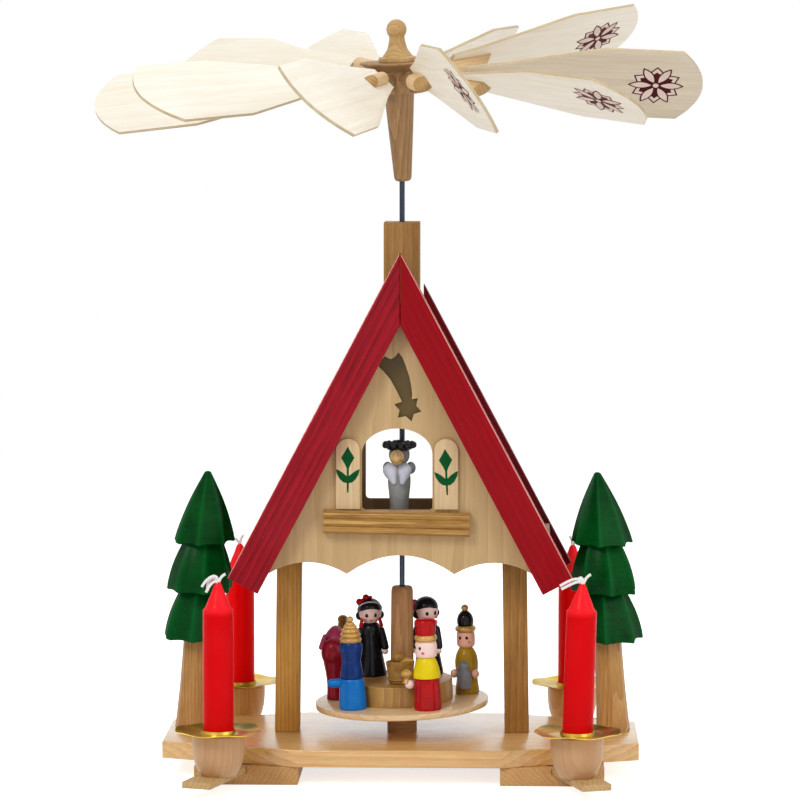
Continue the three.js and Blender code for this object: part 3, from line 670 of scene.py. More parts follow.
makeWorld()
bpy.ops.mesh.primitive_plane_add(size=backdrop["size"], location=(0, 0, 0))
floor = bpy.context.object
floor.name = "studio_floor"
floor.data.materials.append(makeFloor())
print("camera, lamps, floor and finishes made")


# Modelling helpers
def moved(x, y, z):
    return Matrix.Translation((x * mm, y * mm, z * mm))


def rotated(angle, axis):
    return Matrix.Rotation(angle * rad, 4, axis)


def clearSelection():
    bpy.ops.object.select_all(action="DESELECT")


def choose(piece):
    clearSelection()
    piece.select_set(True)
    bpy.context.view_layer.objects.active = piece


# Opens the chosen piece for editing, with all of it selected
def openMesh():
    bpy.ops.object.mode_set(mode="EDIT")
    bpy.ops.mesh.select_all(action="SELECT")


def closeMesh():
    bpy.ops.object.mode_set(mode="OBJECT")


# A flat round plate of so many corners, lying at the origin and chosen
def plate(name, sides, radius):
    clearSelection()
    bpy.ops.mesh.primitive_circle_add(
        vertices=sides, radius=radius * mm, fill_type="NGON", location=(0, 0, 0)
    )
    piece = bpy.context.object
    piece.name = name
    return piece


def modify(piece, kind, **settings):
    choose(piece)
    modifier = piece.modifiers.new(kind.lower(), kind)
    for key, value in settings.items():
        setattr(modifier, key, value)
    bpy.ops.object.modifier_apply(modifier=modifier.name)


def settle(piece, matrix):
    piece.matrix_world = matrix
    choose(piece)
    bpy.ops.object.transform_apply(location=True, rotation=True, scale=True)


def smooth(piece, angle):
    choose(piece)
    bpy.ops.object.shade_smooth_by_angle(angle=angle * rad)


def joined(name, pieces):
    choose(pieces[0])
    for piece in pieces:
        piece.select_set(True)
    bpy.ops.object.join()
    pieces[0].name = name
    return pieces[0]


def copied(piece, name, matrix=None):
    made = bpy.data.objects.new(name, piece.data.copy())
    bpy.context.scene.collection.objects.link(made)
    if matrix is not None:
        settle(made, matrix)
    return made


# Moves every point of a piece, in mm
def sculpt(piece, move):
    for vertex in piece.data.vertices:
        vertex.co = Vector(move(vertex.co / mm)) * mm
    piece.data.update()


# Corners cut again and again, so that a turned profile runs softly
def softened(profile, passes=2):
    for _ in range(passes):
        points = [profile[0]]
        for (r0, z0), (r1, z1) in zip(profile, profile[1:]):
            points.append((0.75 * r0 + 0.25 * r1, 0.75 * z0 + 0.25 * z1))
            points.append((0.25 * r0 + 0.75 * r1, 0.25 * z0 + 0.75 * z1))
        points.append(profile[-1])
        profile = points
    return profile


# A piece turned round Z from (radius, height) points in mm, foot up
def turned(name, profile, sides, angle, matrix=None):
    radius, height = profile[0]
    piece = plate(name, sides, radius)
    openMesh()
    bpy.ops.transform.translate(value=(0, 0, height * mm))
    for (r0, z0), (r1, z1) in zip(profile, profile[1:]):
        bpy.ops.mesh.extrude_region_move(TRANSFORM_OT_translate={"value": (0, 0, (z1 - z0) * mm)})
        share = r1 / r0
        bpy.ops.transform.resize(value=(share, share, 1), center_override=(0, 0, z1 * mm))
    bpy.ops.mesh.select_all(action="SELECT")
    bpy.ops.mesh.remove_doubles(threshold=1e-6)
    bpy.ops.mesh.normals_make_consistent(inside=False)
    closeMesh()
    smooth(piece, angle)
    if matrix is not None:
        settle(piece, matrix)
    return piece


def softTurned(profile, sides=40, angle=35, matrix=None):
    return turned("part", softened(profile, 1), sides, angle, matrix)


ball = {"arc": 168, "steps": 10}


# A ball, a little open at its poles; stretch is its height over its width
def bead(radius, place, stretch=1.0, sides=20):
    profile = []
    for i in range(ball["steps"] + 1):
        around = (i / ball["steps"] - 0.5) * ball["arc"] * rad
        profile.append((radius * math.cos(around), radius * stretch * math.sin(around)))
    return turned("bead", profile, sides, 60, Matrix.Translation(Vector(place) * mm))


# A rounded bar from one point to another, with its own radius at each end
def limb(start, end, thick, thin, sides=20):
    start, end = Vector(start), Vector(end)
    length = (end - start).length
    profile = [(thick * 0.25, -thick), (thick * 0.8, -thick * 0.7), (thick, 0), (thin, length)]
    profile += [(thin * 0.8, length + thin * 0.7), (thin * 0.25, length + thin)]
    turn = (end - start).to_track_quat("Z", "Y").to_matrix().to_4x4()
    return turned("limb", softened(profile, 1), sides, 60, Matrix.Translation(start * mm) @ turn)


# A thin round strand along a smooth curve through points in mm
def strand(name, points, radius):
    curve = bpy.data.curves.new(name, "CURVE")
    curve.dimensions = "3D"
    curve.bevel_depth = radius * mm
    curve.bevel_resolution = 2
    curve.resolution_u = 5
    curve.use_fill_caps = True
    spline = curve.splines.new("NURBS")
    spline.points.add(len(points) - 1)
    for point, place in zip(spline.points, points):
        point.co = (*(Vector(place) * mm), 1)
    spline.use_endpoint_u = True
    spline.order_u = 4
    piece = bpy.data.objects.new(name, curve)
    bpy.context.scene.collection.objects.link(piece)
    choose(piece)
    bpy.ops.object.convert(target="MESH")
    return bpy.context.object


film = 0.03


# A flat cut-out in X and Y from its outline in mm, lying at the given height, as thick as a film
def cutout(name, points, height):
    piece = plate(name, len(points), 1)
    for vertex, (x, y) in zip(piece.data.vertices, points):
        vertex.co = Vector((x, y, height)) * mm
    modify(piece, "SOLIDIFY", thickness=film * mm, offset=1.0)
    choose(piece)
    openMesh()
    bpy.ops.mesh.normals_make_consistent(inside=False)
    closeMesh()
    return piece


# The same solid with its flat faces joined up and its edges eased
def eased(name, node, edge, segments=2):
    piece = copied(nodes[node], name)
    piece.data.materials.clear()
    choose(piece)
    openMesh()
    bpy.ops.mesh.remove_doubles(threshold=1e-6)
    bpy.ops.mesh.dissolve_limited(angle_limit=1 * rad)
    closeMesh()
    modify(piece, "BEVEL", width=edge * mm, segments=segments, limit_method="ANGLE", angle_limit=30 * rad)
    smooth(piece, 40)
    return piece


# Gives a piece its finish and the body of its solid, and hides the solid that it stands in for
def dress(piece, finish, node, instead=True):
    if finish is not None:
        piece.data.materials.clear()
        piece.data.materials.append(finish)
    if instead:
        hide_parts(node)
    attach(piece, bodyOf[node])
    return piece


def discard(*pieces):
    for piece in pieces:
        bpy.data.objects.remove(piece)


def centreOf(node):
    low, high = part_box(node)
    return (low + high) / 2 / mm


# The middle of the flat foot that a solid stands on
def footOf(node):
    low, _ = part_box(node)
    feet = [vertex.co for vertex in nodes[node].data.vertices if vertex.co.z < low.z + 1e-4]
    middle = [sum(end(co[axis] for co in feet) for end in (min, max)) / 2 for axis in (0, 1)]
    return Vector((*middle, low.z))


# Base: plate, battens, arms
dress(eased("plate_board", "base_plate", 0.5, 3), woods["varnish"], "base_plate")
for side in ("left", "right"):
    dress(eased("batten_" + side, "foot_" + side, 0.35), woods["foot"], "foot_" + side)
for corner in corners:
    dress(eased("arm_strip_" + corner, "arm_" + corner, 0.35), woods["arm"], "arm_" + corner)
print("base made")


# Candle cups, drip plates, candles and wicks
cup = {
    "wall": [
        (7.6, 0), (7.8, 0), (8.2, 0.5), (9.6, 2.4), (11.0, 6), (11.8, 10), (12.1, 15), (12.1, 18.3),
        (11.9, 18.9), (11.2, 18.9),
    ],
    "socket": [(7.4, 18.9), (7.3, 18.6), (7.3, 13.4)],
}
dish = {
    "hole": 7.3, "flat": 12.1, "radius": 19.75, "lift": 1.7, "curl": 1.4, "steps": 8,
    "wave": 0.4, "waves": 6, "metal": 0.35, "seat": 1.6, "fillet": 0.6, "collar": 1.6,
}
candle = {
    "foot": (6.7, 0),
    "side": [
        (7, 0.4), (7, 61.9), (6.7, 62.8), (5.7, 63.6), (4.34, 67.3), (2.52, 71.5), (1.6, 74.4), (0.66, 75.2)
    ],
    "wickFoot": 74.7,
    "wickRoot": (0, 0, -2),
    "strand": 0.66,
    "lean": {"front_right": 1.7},
}
wicks = {
    "front_left": [
        [(0.2, 0, 1.5), (-0.8, -0.4, 3.4), (-3.0, -1.0, 3.2), (-5.5, -1.6, 1.2), (-7.2, -1.8, -1.6)],
        [(0, 0.3, 1.2), (-1.4, 0.2, 2.6), (-3.6, 0.4, 1.6), (-5.0, 0.2, -0.8), (-4.6, -0.4, -3.6)],
        [(-0.2, -0.4, 1.0), (-1.8, -1.4, 1.2), (-3.8, -2.4, -1.0), (-5.2, -2.8, -4.0)],
        [(0.3, 0.2, 1.5), (1.6, 0.4, 3.2), (3.4, 0.6, 4.0)],
    ],
    "front_right": [
        [(0, 0, 1.4), (-1.6, -0.6, 2.8), (-4.4, -1.2, 2.4), (-7.4, -1.6, 1.0), (-10.2, -1.8, -0.8)],
        [(0.2, -0.3, 1.0), (-1.4, -1.2, 1.6), (-4.2, -2.0, 0.8), (-7.0, -2.2, -0.8), (-9.6, -2.4, -2.2)],
        [(0.4, 0.2, 2.0), (-0.8, 0.4, 3.6), (-2.0, 0.2, 2.6), (-1.2, -0.6, 0.6)],
        [(0.4, 0, 1.8), (1.8, 0, 3.8), (3.6, 0.2, 4.6)],
    ],
    "back_left": [
        [(0, 0, 2.0), (0.6, 0.4, 3.8), (1.8, 0.8, 4.6)],
        [(-0.3, 0, 1.6), (-1.8, -0.2, 3.4), (-3.4, 0, 3.0)],
    ],
    "back_right": [
        [(0, 0, 2.0), (-0.6, 0.4, 3.8), (-1.6, 0.8, 4.6)],
        [(0.3, 0, 1.6), (1.8, -0.2, 3.4), (3.4, 0, 2.8)],
    ],
}


def dishPiece():
    inner, metal = dish["hole"], dish["metal"]
    brim = metal + dish["collar"]
    under = []
    for i in range(dish["steps"] + 1):
        share = i / dish["steps"]
        radius = dish["flat"] + (dish["radius"] - dish["flat"]) * share
        under.append((radius, dish["lift"] * share ** dish["curl"]))
    over = [(radius, height + metal) for radius, height in reversed(under)]
    profile = [(inner, 0), *under, *over]
    profile += [(inner + dish["seat"], metal), (inner + dish["fillet"], metal + 0.3)]
    profile += [(inner + metal, brim), (inner + 0.02, brim), (inner, 0.02)]
    piece = turned("dish", profile, 96, 40)

    def wave(place):
        radius = math.hypot(place.x, place.y)
        out = max(0.0, (radius - dish["flat"]) / (dish["radius"] - dish["flat"]))
        around = math.atan2(place.y, place.x)
        lift = dish["wave"] * out * math.cos(dish["waves"] * around)
        return (place.x, place.y, place.z + lift)

    sculpt(piece, wave)
    return piece


cupSource = turned("cup", [*softened(cup["wall"], 1), *cup["socket"]], 56, 38)
dishSource = dishPiece()
candleSource = turned("candle", [candle["foot"], *softened(candle["side"])], 48, 60)
for corner in corners:
    spot = centreOf("candle_" + corner)
    outX, outY, _ = joints["arm_" + corner + "_pull"]["axis"]
    turn = Matrix.Rotation(math.atan2(outY, outX) - 90 * rad, 4, "Z")
    lean = rotated(candle["lean"].get(corner, 0), "Y")
    for source, node, name, finish in (
        (cupSource, "cup_", "turned_cup_", woods["cup" if corner.startswith("front") else "cupBackLit"]),
        (dishSource, "drip_plate_", "brass_dish_", brass),
        (candleSource, "candle_", "wax_candle_", waxes[corner.split("_")[0]]),
    ):
        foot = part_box(node + corner)[0].z / mm
        if source is dishSource:
            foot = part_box("cup_" + corner)[1].z / mm
        place = Matrix.Translation(Vector((spot.x, spot.y, foot)) * mm)
        if source is candleSource:
            place = place @ lean
        dress(copied(source, name + corner, place @ turn), finish, node + corner)
    tip = Vector((0, 0, candle["wickFoot"]))
    paths = [[tip + Vector(point) for point in (candle["wickRoot"], *path)] for path in wicks[corner]]
    strands = [strand("wick_strand", path, candle["strand"]) for path in paths]
    wick = joined("wick_" + corner, strands)
    wick.data.transform(place)
    dress(wick, cotton, "candle_" + corner, instead=False)
discard(cupSource, dishSource, candleSource)
print("candle holders made")


# House: posts, loft, gables, boards, ridge, shutters and sill
house = {"pitch": 62.1, "edge": 0.35, "litEdge": 0.3}
for side, sign, post, red in (("left", -1, "post", "redLeft"), ("right", 1, "postPaintedShade", "redRight")):
    dress(eased("square_post_" + side, "post_" + side, 0.45), woods[post], "post_" + side)
    for place, finish in (("front_", red), ("back_", "redBackShaded")):
        node = "barge_board_" + place + side
        board = eased("roof_board_" + place + side, node, house["edge"])
        outward = Vector((sign * math.sin(house["pitch"] * rad), 0, math.cos(house["pitch"] * rad)))
        board.data.materials.append(woods[finish])
        board.data.materials.append(woods["redEdgeWornAndLit"])
        # Faces that look forward and out along a front board's slope take the pale edge: worn paint and a painted
        # highlight
        for flat in board.data.polygons:
            wornAndLitEdge = flat.normal.y < -0.25 and flat.normal.dot(outward) > house["litEdge"]
            flat.material_index = 1 if wornAndLitEdge and place == "front_" else 0
        dress(board, None, node)
dress(eased("ridge_bearing", "ridge_block", 0.5, 3), woods["block"], "ridge_block")
dress(eased("ridged_sill", "window_sill", 0.25), woods["sill"], "window_sill")
# These keep the solid's own shape; the back gable and the loft take darker woods that paint the shade inside the
# house
sameShape = {
    "loft_floor": "loft", "gable_front": "gable", "gable_back": "dark", "ridge_rail": "plain",
    "bearing_block": "plain",
}
for node, finish in sameShape.items():
    nodes[node].data.materials.clear()
    nodes[node].data.materials.append(woods[finish])


# A green tulip on each shutter: a lozenge bud, a stem and two leaves
tulip = {
    "bud": [
        (0, 10.8), (1.2, 8.6), (3.1, 5.5), (1.3, 2.4), (0.5, 0.4), (-0.5, 0.4), (-1.3, 2.4), (-3.1, 5.5),
        (-1.2, 8.6),
    ],
    "stem": [(0.5, 1.2), (0.45, -8.6), (0.3, -10.8), (-0.3, -10.8), (-0.45, -8.6), (-0.5, 1.2)],
    "leaf": [
        (0, -3.0), (0.6, -3.0), (2.2, -1.6), (4.0, -0.4), (5.4, 0.2), (5.5, 0), (5.0, -2.2), (3.6, -4.6),
        (2.0, -6.0), (0, -6.4),
    ],
    "layers": (0, 0.01, 0.02, 0.04),
    "stand": 0.03,
    "lift": {"left": 18.6, "right": 17.6},
    "turn": {"left": 0, "right": -3},
}
for side in ("left", "right"):
    dress(eased("plain_shutter_" + side, "shutter_" + side, 0.3), woods["shutter"], "shutter_" + side)
    low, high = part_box("shutter_" + side)
    otherLeaf = [(-x, y) for x, y in reversed(tulip["leaf"])]
    outlines = (tulip["bud"], tulip["stem"], tulip["leaf"], otherLeaf)
    shapes = [cutout("tulip_part", points, layer) for points, layer in zip(outlines, tulip["layers"])]
    middle = ((low.x + high.x) / 2, low.y - tulip["stand"] * mm, low.z + tulip["lift"][side] * mm)
    turn = rotated(tulip["turn"][side], "Y") @ rotated(90, "X")
    upright = Matrix.Translation(middle) @ turn
    painted = joined("tulip_" + side, shapes)
    settle(painted, upright)
    dress(painted, paints["tulip"], "shutter_" + side, instead=False)
print("house made")


# Trees: three carved tiers with hollow knife cuts, on a bare faceted trunk
tree = {
    "tiers": [
        {"foot": 43.5, "radius": 17.2, "top": 66.6, "neck": 10.2, "turn": 8},
        {"foot": 66, "radius": 16.4, "top": 89.6, "neck": 9.6, "turn": 24},
        {"foot": 89, "radius": 15.2, "top": 121.6, "neck": 2.0, "turn": 8},
    ],
    "cuts": 7,
    "between": 10,
    "hollow": 0.03,
    "bow": 1.3,
    "scallop": 0.7,
    "scallopRise": 3.5,
    "ragged": 14,
    "raggedRise": 3,
    "ridge": 0.7,
    "trunk": [(8.3, 0), (7.9, 6), (7.3, 18), (6.9, 34), (6.7, 48)],
    "trunkTurn": 15,
    "trunkHollow": 0.01,
    "trunkReach": 400,
    "lean": {"left": 3.8, "right": -3.8},
    "uneven": [0.0, 0.04, -0.02, 0.03, -0.04, 0.03, -0.02],
}


# Cuts run up a round piece from foot to top, each hollow across and a little uneven, with ridges between
def carved(piece, foot, top, turn, hollow, scallop):
    ridges = piece.data.attributes.new("ridge", "FLOAT", "POINT")
    cuts, uneven, ridge = tree["cuts"], tree["uneven"], tree["ridge"]
    step = 2 * math.pi / cuts

    # Which cut a place is in, and how far across it, from -1 to 1
    def cutAt(place):
        around = math.atan2(place.y, place.x) - turn * rad
        cut = math.floor(around / step)
        return cut, (around / step - cut) * 2 - 1

    def carve(place):
        cut, across = cutAt(place)
        middle = 1 - across * across
        flat = math.cos(step / 2) / math.cos(across * step / 2)
        reach = flat - hollow * middle + uneven[cut % cuts] * middle
        up = (place.z - foot) / (top - foot)
        rise = scallop * middle * max(0.0, 1 - tree["scallopRise"] * up)
        rise += uneven[cut * 4 % cuts] * tree["ragged"] * max(0.0, 1 - tree["raggedRise"] * up)
        return (place.x * reach, place.y * reach, place.z + rise)

    for index, vertex in enumerate(piece.data.vertices):
        _, across = cutAt(vertex.co)
        ridges.data[index].value = max(0.0, (abs(across) - ridge) / (1 - ridge))
    sculpt(piece, carve)
    return piece


def treePieces(side):
    sides = tree["cuts"] * tree["between"]
    crowns = []
    for tier in tree["tiers"]:
        foot, top, radius, neck = tier["foot"], tier["top"], tier["radius"], tier["neck"]
        profile = [
            (6.0, foot + 1.4), (radius - 1.6, foot + 0.3), (radius - 0.8, foot), (radius - 0.2, foot + 0.4)
        ]
        for i in range(1, 9):
            share = i / 8
            bow = tree["bow"] * math.sin(math.pi * share)
            width = radius + (neck - radius) * share + bow
            profile.append((width, foot + 0.5 + (top - foot - 0.5) * share))
        if neck < 3:
            profile += [(neck * 0.75, top + 0.9), (neck * 0.3, top + 1.3)]
        crown = turned("tree_tier", profile, sides, 24)
        crowns.append(carved(crown, foot, top, tier["turn"], tree["hollow"], tree["scallop"]))
    trunk = turned("tree_trunk_" + side, tree["trunk"], sides, 24)
    carved(trunk, 0, tree["trunkReach"], tree["trunkTurn"], tree["trunkHollow"], 0)
    slant = Matrix.Identity(4)
    slant[0][2] = math.tan(tree["lean"][side] * rad)
    crown = joined("tree_crown_" + side, crowns)
    for piece in (crown, trunk):
        piece.data.transform(Matrix.Translation(footOf("tree_" + side)) @ slant)
        smooth(piece, 24)
    return crown, trunk


for side in ("left", "right"):
    crown, trunk = treePieces(side)
    dress(crown, treeGreen, "tree_" + side)
    dress(trunk, woods["trunk"], "tree_" + side, instead=False)
print("trees made")


# Rod and turntable
axis = centreOf("turntable_disc")
axisPlace = moved(axis.x, axis.y, 0)


def onAxis(name, node, profile, finish, sides):
    low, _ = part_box(node)
    shape = [(radius, height + low.z / mm) for radius, height in profile]
    piece = turned(name, shape, sides, 40, axisPlace)
    return dress(piece, finish, node)


rodLength = (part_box("rod")[1].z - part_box("rod")[0].z) / mm
turntable = {
    "rod": [(0.1, 0), (1.25, 1.2), (1.25, rodLength - 0.2), (1.0, rodLength)],
    "disc": [(40.2, 0), (40.8, 0.25), (41, 0.8), (41, 2.2), (40.8, 2.75), (40.2, 3)],
    "platform": [(23.9, 0), (24.2, 0.3), (24.2, 9.2), (24.0, 9.6), (23.5, 9.8)],
    "column": [(5.5, 0), (5.45, 8), (5.3, 24), (5.15, 41.4), (4.9, 43.3), (4.3, 44)],
    "tilt": (1.3, -1.9),
    "lift": 0.1,
}
onAxis("steel_rod", "rod", turntable["rod"], steel, 24)
discFoot = Vector((axis.x * mm, axis.y * mm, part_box("turntable_disc")[0].z))
tableTilt = (
    Matrix.Translation(discFoot + Vector((0, 0, turntable["lift"] * mm)))
    @ rotated(turntable["tilt"][0], "X")
    @ rotated(turntable["tilt"][1], "Y")
    @ Matrix.Translation(-discFoot)
)
for part, sides in (("disc", 128), ("platform", 96)):
    piece = onAxis("table_" + part, "turntable_" + part, turntable[part], woods[part], sides)
    piece.data.transform(tableTilt)
onAxis("table_column", "turntable_column", turntable["column"], woods["column"], 40)


# Figures: each is a list of turned, round or rod-like parts about its own foot, facing -Y
def pair(make):
    return joined("pair", [make(-1), make(1)])


def torus(radius, thick, height):
    profile = []
    for i in range(9):
        around = (i / 8 - 0.5) * math.pi * 0.98
        profile.append((radius - thick + thick * math.cos(around), height + thick * math.sin(around)))
    return turned("torus", profile, 36, 60)


def flattened(piece, share):
    piece.data.transform(Matrix.Scale(share, 4, (0, 1, 0)))
    return piece


def looking(piece, turn):
    piece.data.transform(rotated(turn, "Z"))
    return piece


def eyes(radius, height, wide, spacing=1.6):
    front = -math.sqrt(radius ** 2 - spacing ** 2) + 0.12
    return pair(lambda sign: bead(wide, (sign * spacing, front, height), 1.3, 12))


# Painted cheeks, only a little proud of the head
def cheeks(radius, height, wide=0.85, spacing=2.6):
    front = -math.sqrt(radius ** 2 - spacing ** 2) + 0.6 * wide
    return pair(lambda sign: bead(wide, (sign * spacing, front, height), 0.9, 14))


def hair(turn):
    cap = bead(5.4, (0, 0.6, 31.6), 0.98, 32)
    rolls = [bead(2.0, (x, 0.8, 28.6), 1.1) for x in (-4.4, 4.4)]
    return looking(joined("hair", [cap, *rolls]), turn)


def hairband():
    band = torus(5.65, 0.45, 0)
    band.data.transform(moved(0, 0.6, 31.6) @ rotated(132, "X"))
    return band


def turban():
    coils = ((4.8, 1.4, 32.6), (4.5, 1.2, 34.9), (3.8, 1.1, 36.9), (2.9, 1.0, 38.7), (2.0, 0.8, 40.1))
    return joined("turban", [*(torus(*coil) for coil in coils), bead(1.5, (0, 0, 42.2))])


# What both women share
def womanBody():
    gown = [
        (6.2, 0), (6.7, 0.4), (6.2, 3.4), (5.3, 9), (4.6, 14), (4.5, 18), (4.9, 21), (4.4, 23.6),
        (3.2, 25.2), (2.2, 25.4),
    ]
    return [
        ("dress", "black", softTurned(gown)),
        ("sleeves", "black", pair(lambda sign: limb(
            (sign * 4.6, -0.6, 21.4), (sign * 6.0, -2.0, 13.6), 1.7, 1.8
        ))),
        ("hands", "skinPaleAndLit", pair(lambda sign: bead(1.35, (sign * 6.0, -2.4, 11.4), 1.1))),
        ("head", "skinPaleAndLit", bead(5.1, (0, -0.3, 29.8), 1.02, 32)),
    ]


figures = {
    "king_blue": {
        "turn": -90,
        "parts": lambda: [
            ("robe", "paleBlue", softTurned([
                (5.6, 0), (6.1, 0.4), (6.0, 4), (5.6, 10), (5.3, 13.6), (4.7, 14.6)
            ])),
            ("arm", "paleBlue", limb((0, -2.6, 12.4), (0, -8.8, 12.2), 2.4, 2.1)),
            ("coat", "blue", softTurned([
                (4.8, 14.4), (5.2, 15), (4.8, 18), (4.1, 22.4), (4.4, 25), (5.1, 28), (5.0, 31), (3.0, 32)
            ])),
            ("turban", "gold", turban()),
        ],
    },
    "king_red": {
        "turn": -90,
        "parts": lambda: [
            ("robe", "red", softTurned([
                (5.6, 0), (6.0, 0.4), (5.9, 5), (5.6, 11), (5.5, 14.4), (4.6, 15)
            ])),
            ("cape", "yellow", softTurned([
                (5.2, 14.9), (6.0, 15.1), (5.9, 17), (5.4, 20), (4.3, 23.2), (3.5, 25), (2.6, 25.2)
            ])),
            ("head", "skinPaleAndLit", softTurned([
                (3.2, 24.6), (4.4, 24.8), (4.8, 25.8), (4.8, 31), (4.3, 32), (3.0, 32.2)
            ])),
            ("brim", "gold", torus(5.0, 1.8, 33.6)),
            ("hat", "red", softTurned([
                (3.6, 34.6), (4.2, 35.2), (4.5, 38), (4.9, 41), (4.3, 42.3), (2.6, 42.9), (0.4, 43)
            ])),
            ("eyes", "black", looking(eyes(4.8, 29.4, 0.6), 38)),
            ("cheeks", "cheek", looking(cheeks(4.8, 27.2), 38)),
            ("hand", "skinPaleAndLit", bead(2.2, (0, -7.6, 12))),
            ("cup", "gold", softTurned(
                [
                    (2.0, 12.6), (2.2, 12.8), (1.2, 14.2), (1.3, 15), (2.5, 16.2), (2.6, 17.6), (1.4, 18.6),
                    (0.5, 19.2),
                ],
                24, 35, moved(0, -8.8, 0),
            )),
        ],
    },
    "king_mustard": {
        "turn": -15,
        "parts": lambda: [
            ("robe", "mustard", softTurned([
                (5.0, 0), (5.4, 0.4), (5.0, 4), (4.6, 8), (5.1, 12), (5.2, 15), (4.6, 18.6), (3.2, 21.4),
                (2.4, 22),
            ])),
            ("head", "skin", softTurned([
                (2.4, 21.6), (3.8, 22.4), (4.1, 23.8), (4.1, 28.4), (3.6, 29.4), (2.6, 29.6)
            ])),
            ("brim", "gold", torus(4.7, 1.5, 30.7)),
            ("bulb", "black", softTurned([
                (2.8, 31.4), (3.5, 32.4), (3.8, 34.6), (3.2, 37.2), (1.9, 38.8), (1.0, 39.4)
            ])),
            ("tip", "gold", bead(1.7, (0, 0, 40.6))),
            ("eyes", "black", eyes(4.1, 26.8, 0.62, 1.5)),
            ("cheeks", "cheek", cheeks(4.1, 24.9, 0.7, 2.2)),
            ("vessel", "vessel", softTurned(
                [
                    (2.7, 2.8), (3.1, 3), (3.3, 7), (3.3, 10.4), (2.6, 10.8), (2.7, 12), (2.7, 13.6),
                    (1.6, 15.4), (0.5, 16.5),
                ],
                28, 35, moved(0, -4.4, 0),
            )),
            ("hands", "skin", pair(lambda sign: bead(1.7, (sign * 4.9, -3.4, 9.6), 1.25))),
        ],
    },
    "woman_left": {
        "turn": 8,
        "parts": lambda: [
            *womanBody(),
            ("hair", "black", hair(0)),
            ("parting", "sleeve", hairband()),
            ("bow", "red", joined("part", [
                bead(1.5, (-4.6, -0.4, 35.4), 1.1), bead(1.5, (-1.6, -0.2, 37.4), 1.0),
                bead(0.9, (-3.2, -0.8, 36.2)), bead(0.9, (0.4, -0.2, 37.4), 0.8),
            ])),
            ("ribbons", "red", pair(lambda sign: limb(
                (sign * 3.9, -2.4, 27.6), (sign * 4.6, -3.2, 24.2), 0.7, 0.9, 12
            ))),
            ("eyes", "black", eyes(5.2, 29.4, 0.75, 1.9)),
            ("cheeks", "cheek", cheeks(5.1, 27.3, 0.8, 2.7)),
            ("lips", "lips", bead(0.42, (0, -4.75, 26.9), 0.8, 12)),
        ],
    },
    "woman_right": {
        "turn": -20,
        "parts": lambda: [
            *womanBody(),
            ("hair", "black", hair(45)),
            ("scarf", "pink", torus(4.7, 1.1, 24.4)),
            ("bow", "pink", joined("part", [
                bead(1.4, (-5.0, -1.6, 34.0), 1.2), bead(1.3, (-5.6, -1.6, 31.4), 1.3)
            ])),
            ("eyes", "black", looking(eyes(5.2, 29.4, 0.75, 1.9), 45)),
            ("cheeks", "cheek", looking(cheeks(5.1, 27.3, 0.8, 2.7), 45)),
            ("lips", "lips", looking(bead(0.42, (0, -4.75, 26.9), 0.8, 12), 45)),
        ],
    },
    "crib": {
        "turn": 0,
        "parts": lambda: [
            ("basket", "basket", softTurned(
                [
                    (4.6, 0.3), (5.3, 0.5), (5.5, 3), (5.9, 7), (6.3, 9.6), (6.2, 10.6), (5.5, 10.8),
                    (4.8, 9.4),
                ],
                48, 35, Matrix.Scale(0.72, 4, (0, 1, 0)),
            )),
            ("bands", "basket", joined("part", [
                flattened(torus(6.1, 0.5, height), 0.74) for height in (2.2, 9.0)
            ])),
            ("straw", "basket", joined("part", [
                limb((-4.4 + 1.5 * i, 3.0, 9.6), (-5.2 + 1.8 * i, -3.4, 9.9), 0.7, 0.5, 10)
                for i in range(7)
            ])),
            ("child", "gold", limb((0.4, -0.4, 10.6), (4.4, 0, 10.2), 2.0, 1.5)),
            ("head", "basket", bead(3.0, (-0.6, 0, 12.4), 0.95, 28)),
        ],
    },
    "camel": {
        "turn": 170,
        "back": 0.5,
        "parts": lambda: [
            ("cloth", "crimson", softTurned(
                [(0.9, -10), (3.6, -9.4), (5.2, -6), (5.6, 0), (5.4, 6), (4.8, 9.4), (2.2, 11)], 36, 60,
                moved(0, 0, 22.6) @ rotated(-90, "X") @ Matrix.Scale(1.3, 4, (0, 1, 0)),
            )),
            ("skirt", "crimson", softTurned(
                [(3.3, 0.2), (3.5, 0.6), (3.1, 6), (3.4, 12), (4.6, 19), (5.0, 23)], 32, 50,
                moved(0, 6.6, 0) @ Matrix.Scale(0.82, 4, (0, 1, 0)),
            )),
            ("saddle", "saddle", softTurned(
                [(5.0, 0), (5.3, 1.2), (4.8, 3.0), (3.4, 5.6), (1.8, 7.6), (0.5, 8.2)], 32, 50,
                moved(0, 2.2, 26.6) @ rotated(22, "X"),
            )),
            ("tassel", "saddle", limb((3.4, 7.6, 30.6), (4.6, 9.6, 25.6), 0.9, 1.2, 12)),
            ("neck", "basket", limb((0, -9.4, 22.5), (0, -15.0, 33.2), 2.5, 2.2)),
            ("head", "basket", limb((0, -14.6, 34.6), (0, -18.4, 34.2), 2.3, 1.7)),
            ("legs", "basket", pair(lambda sign: limb(
                (sign * 2.8, -6, 14), (sign * 2.8, -6, 1.2), 1.9, 1.7, 16
            ))),
        ],
    },
}
figureGirth = 1.07


# Names and places a figure's parts; the first stands in for the solid
def dressFigure(node, place, parts):
    for index, (part, finish, piece) in enumerate(parts):
        piece.name = node + "_" + part
        piece.data.transform(place)
        dress(piece, paints[finish], node, instead=index == 0)


for node, figure in figures.items():
    turn = rotated(figure["turn"], "Z")
    middle = footOf(node) - turn @ Vector((0, figure.get("back", 0) * mm, 0))
    girth = Matrix.Diagonal((figureGirth, figureGirth, 1, 1))
    dressFigure(node, tableTilt @ Matrix.Translation(middle) @ turn @ girth, figure["parts"]())
print("figures made")


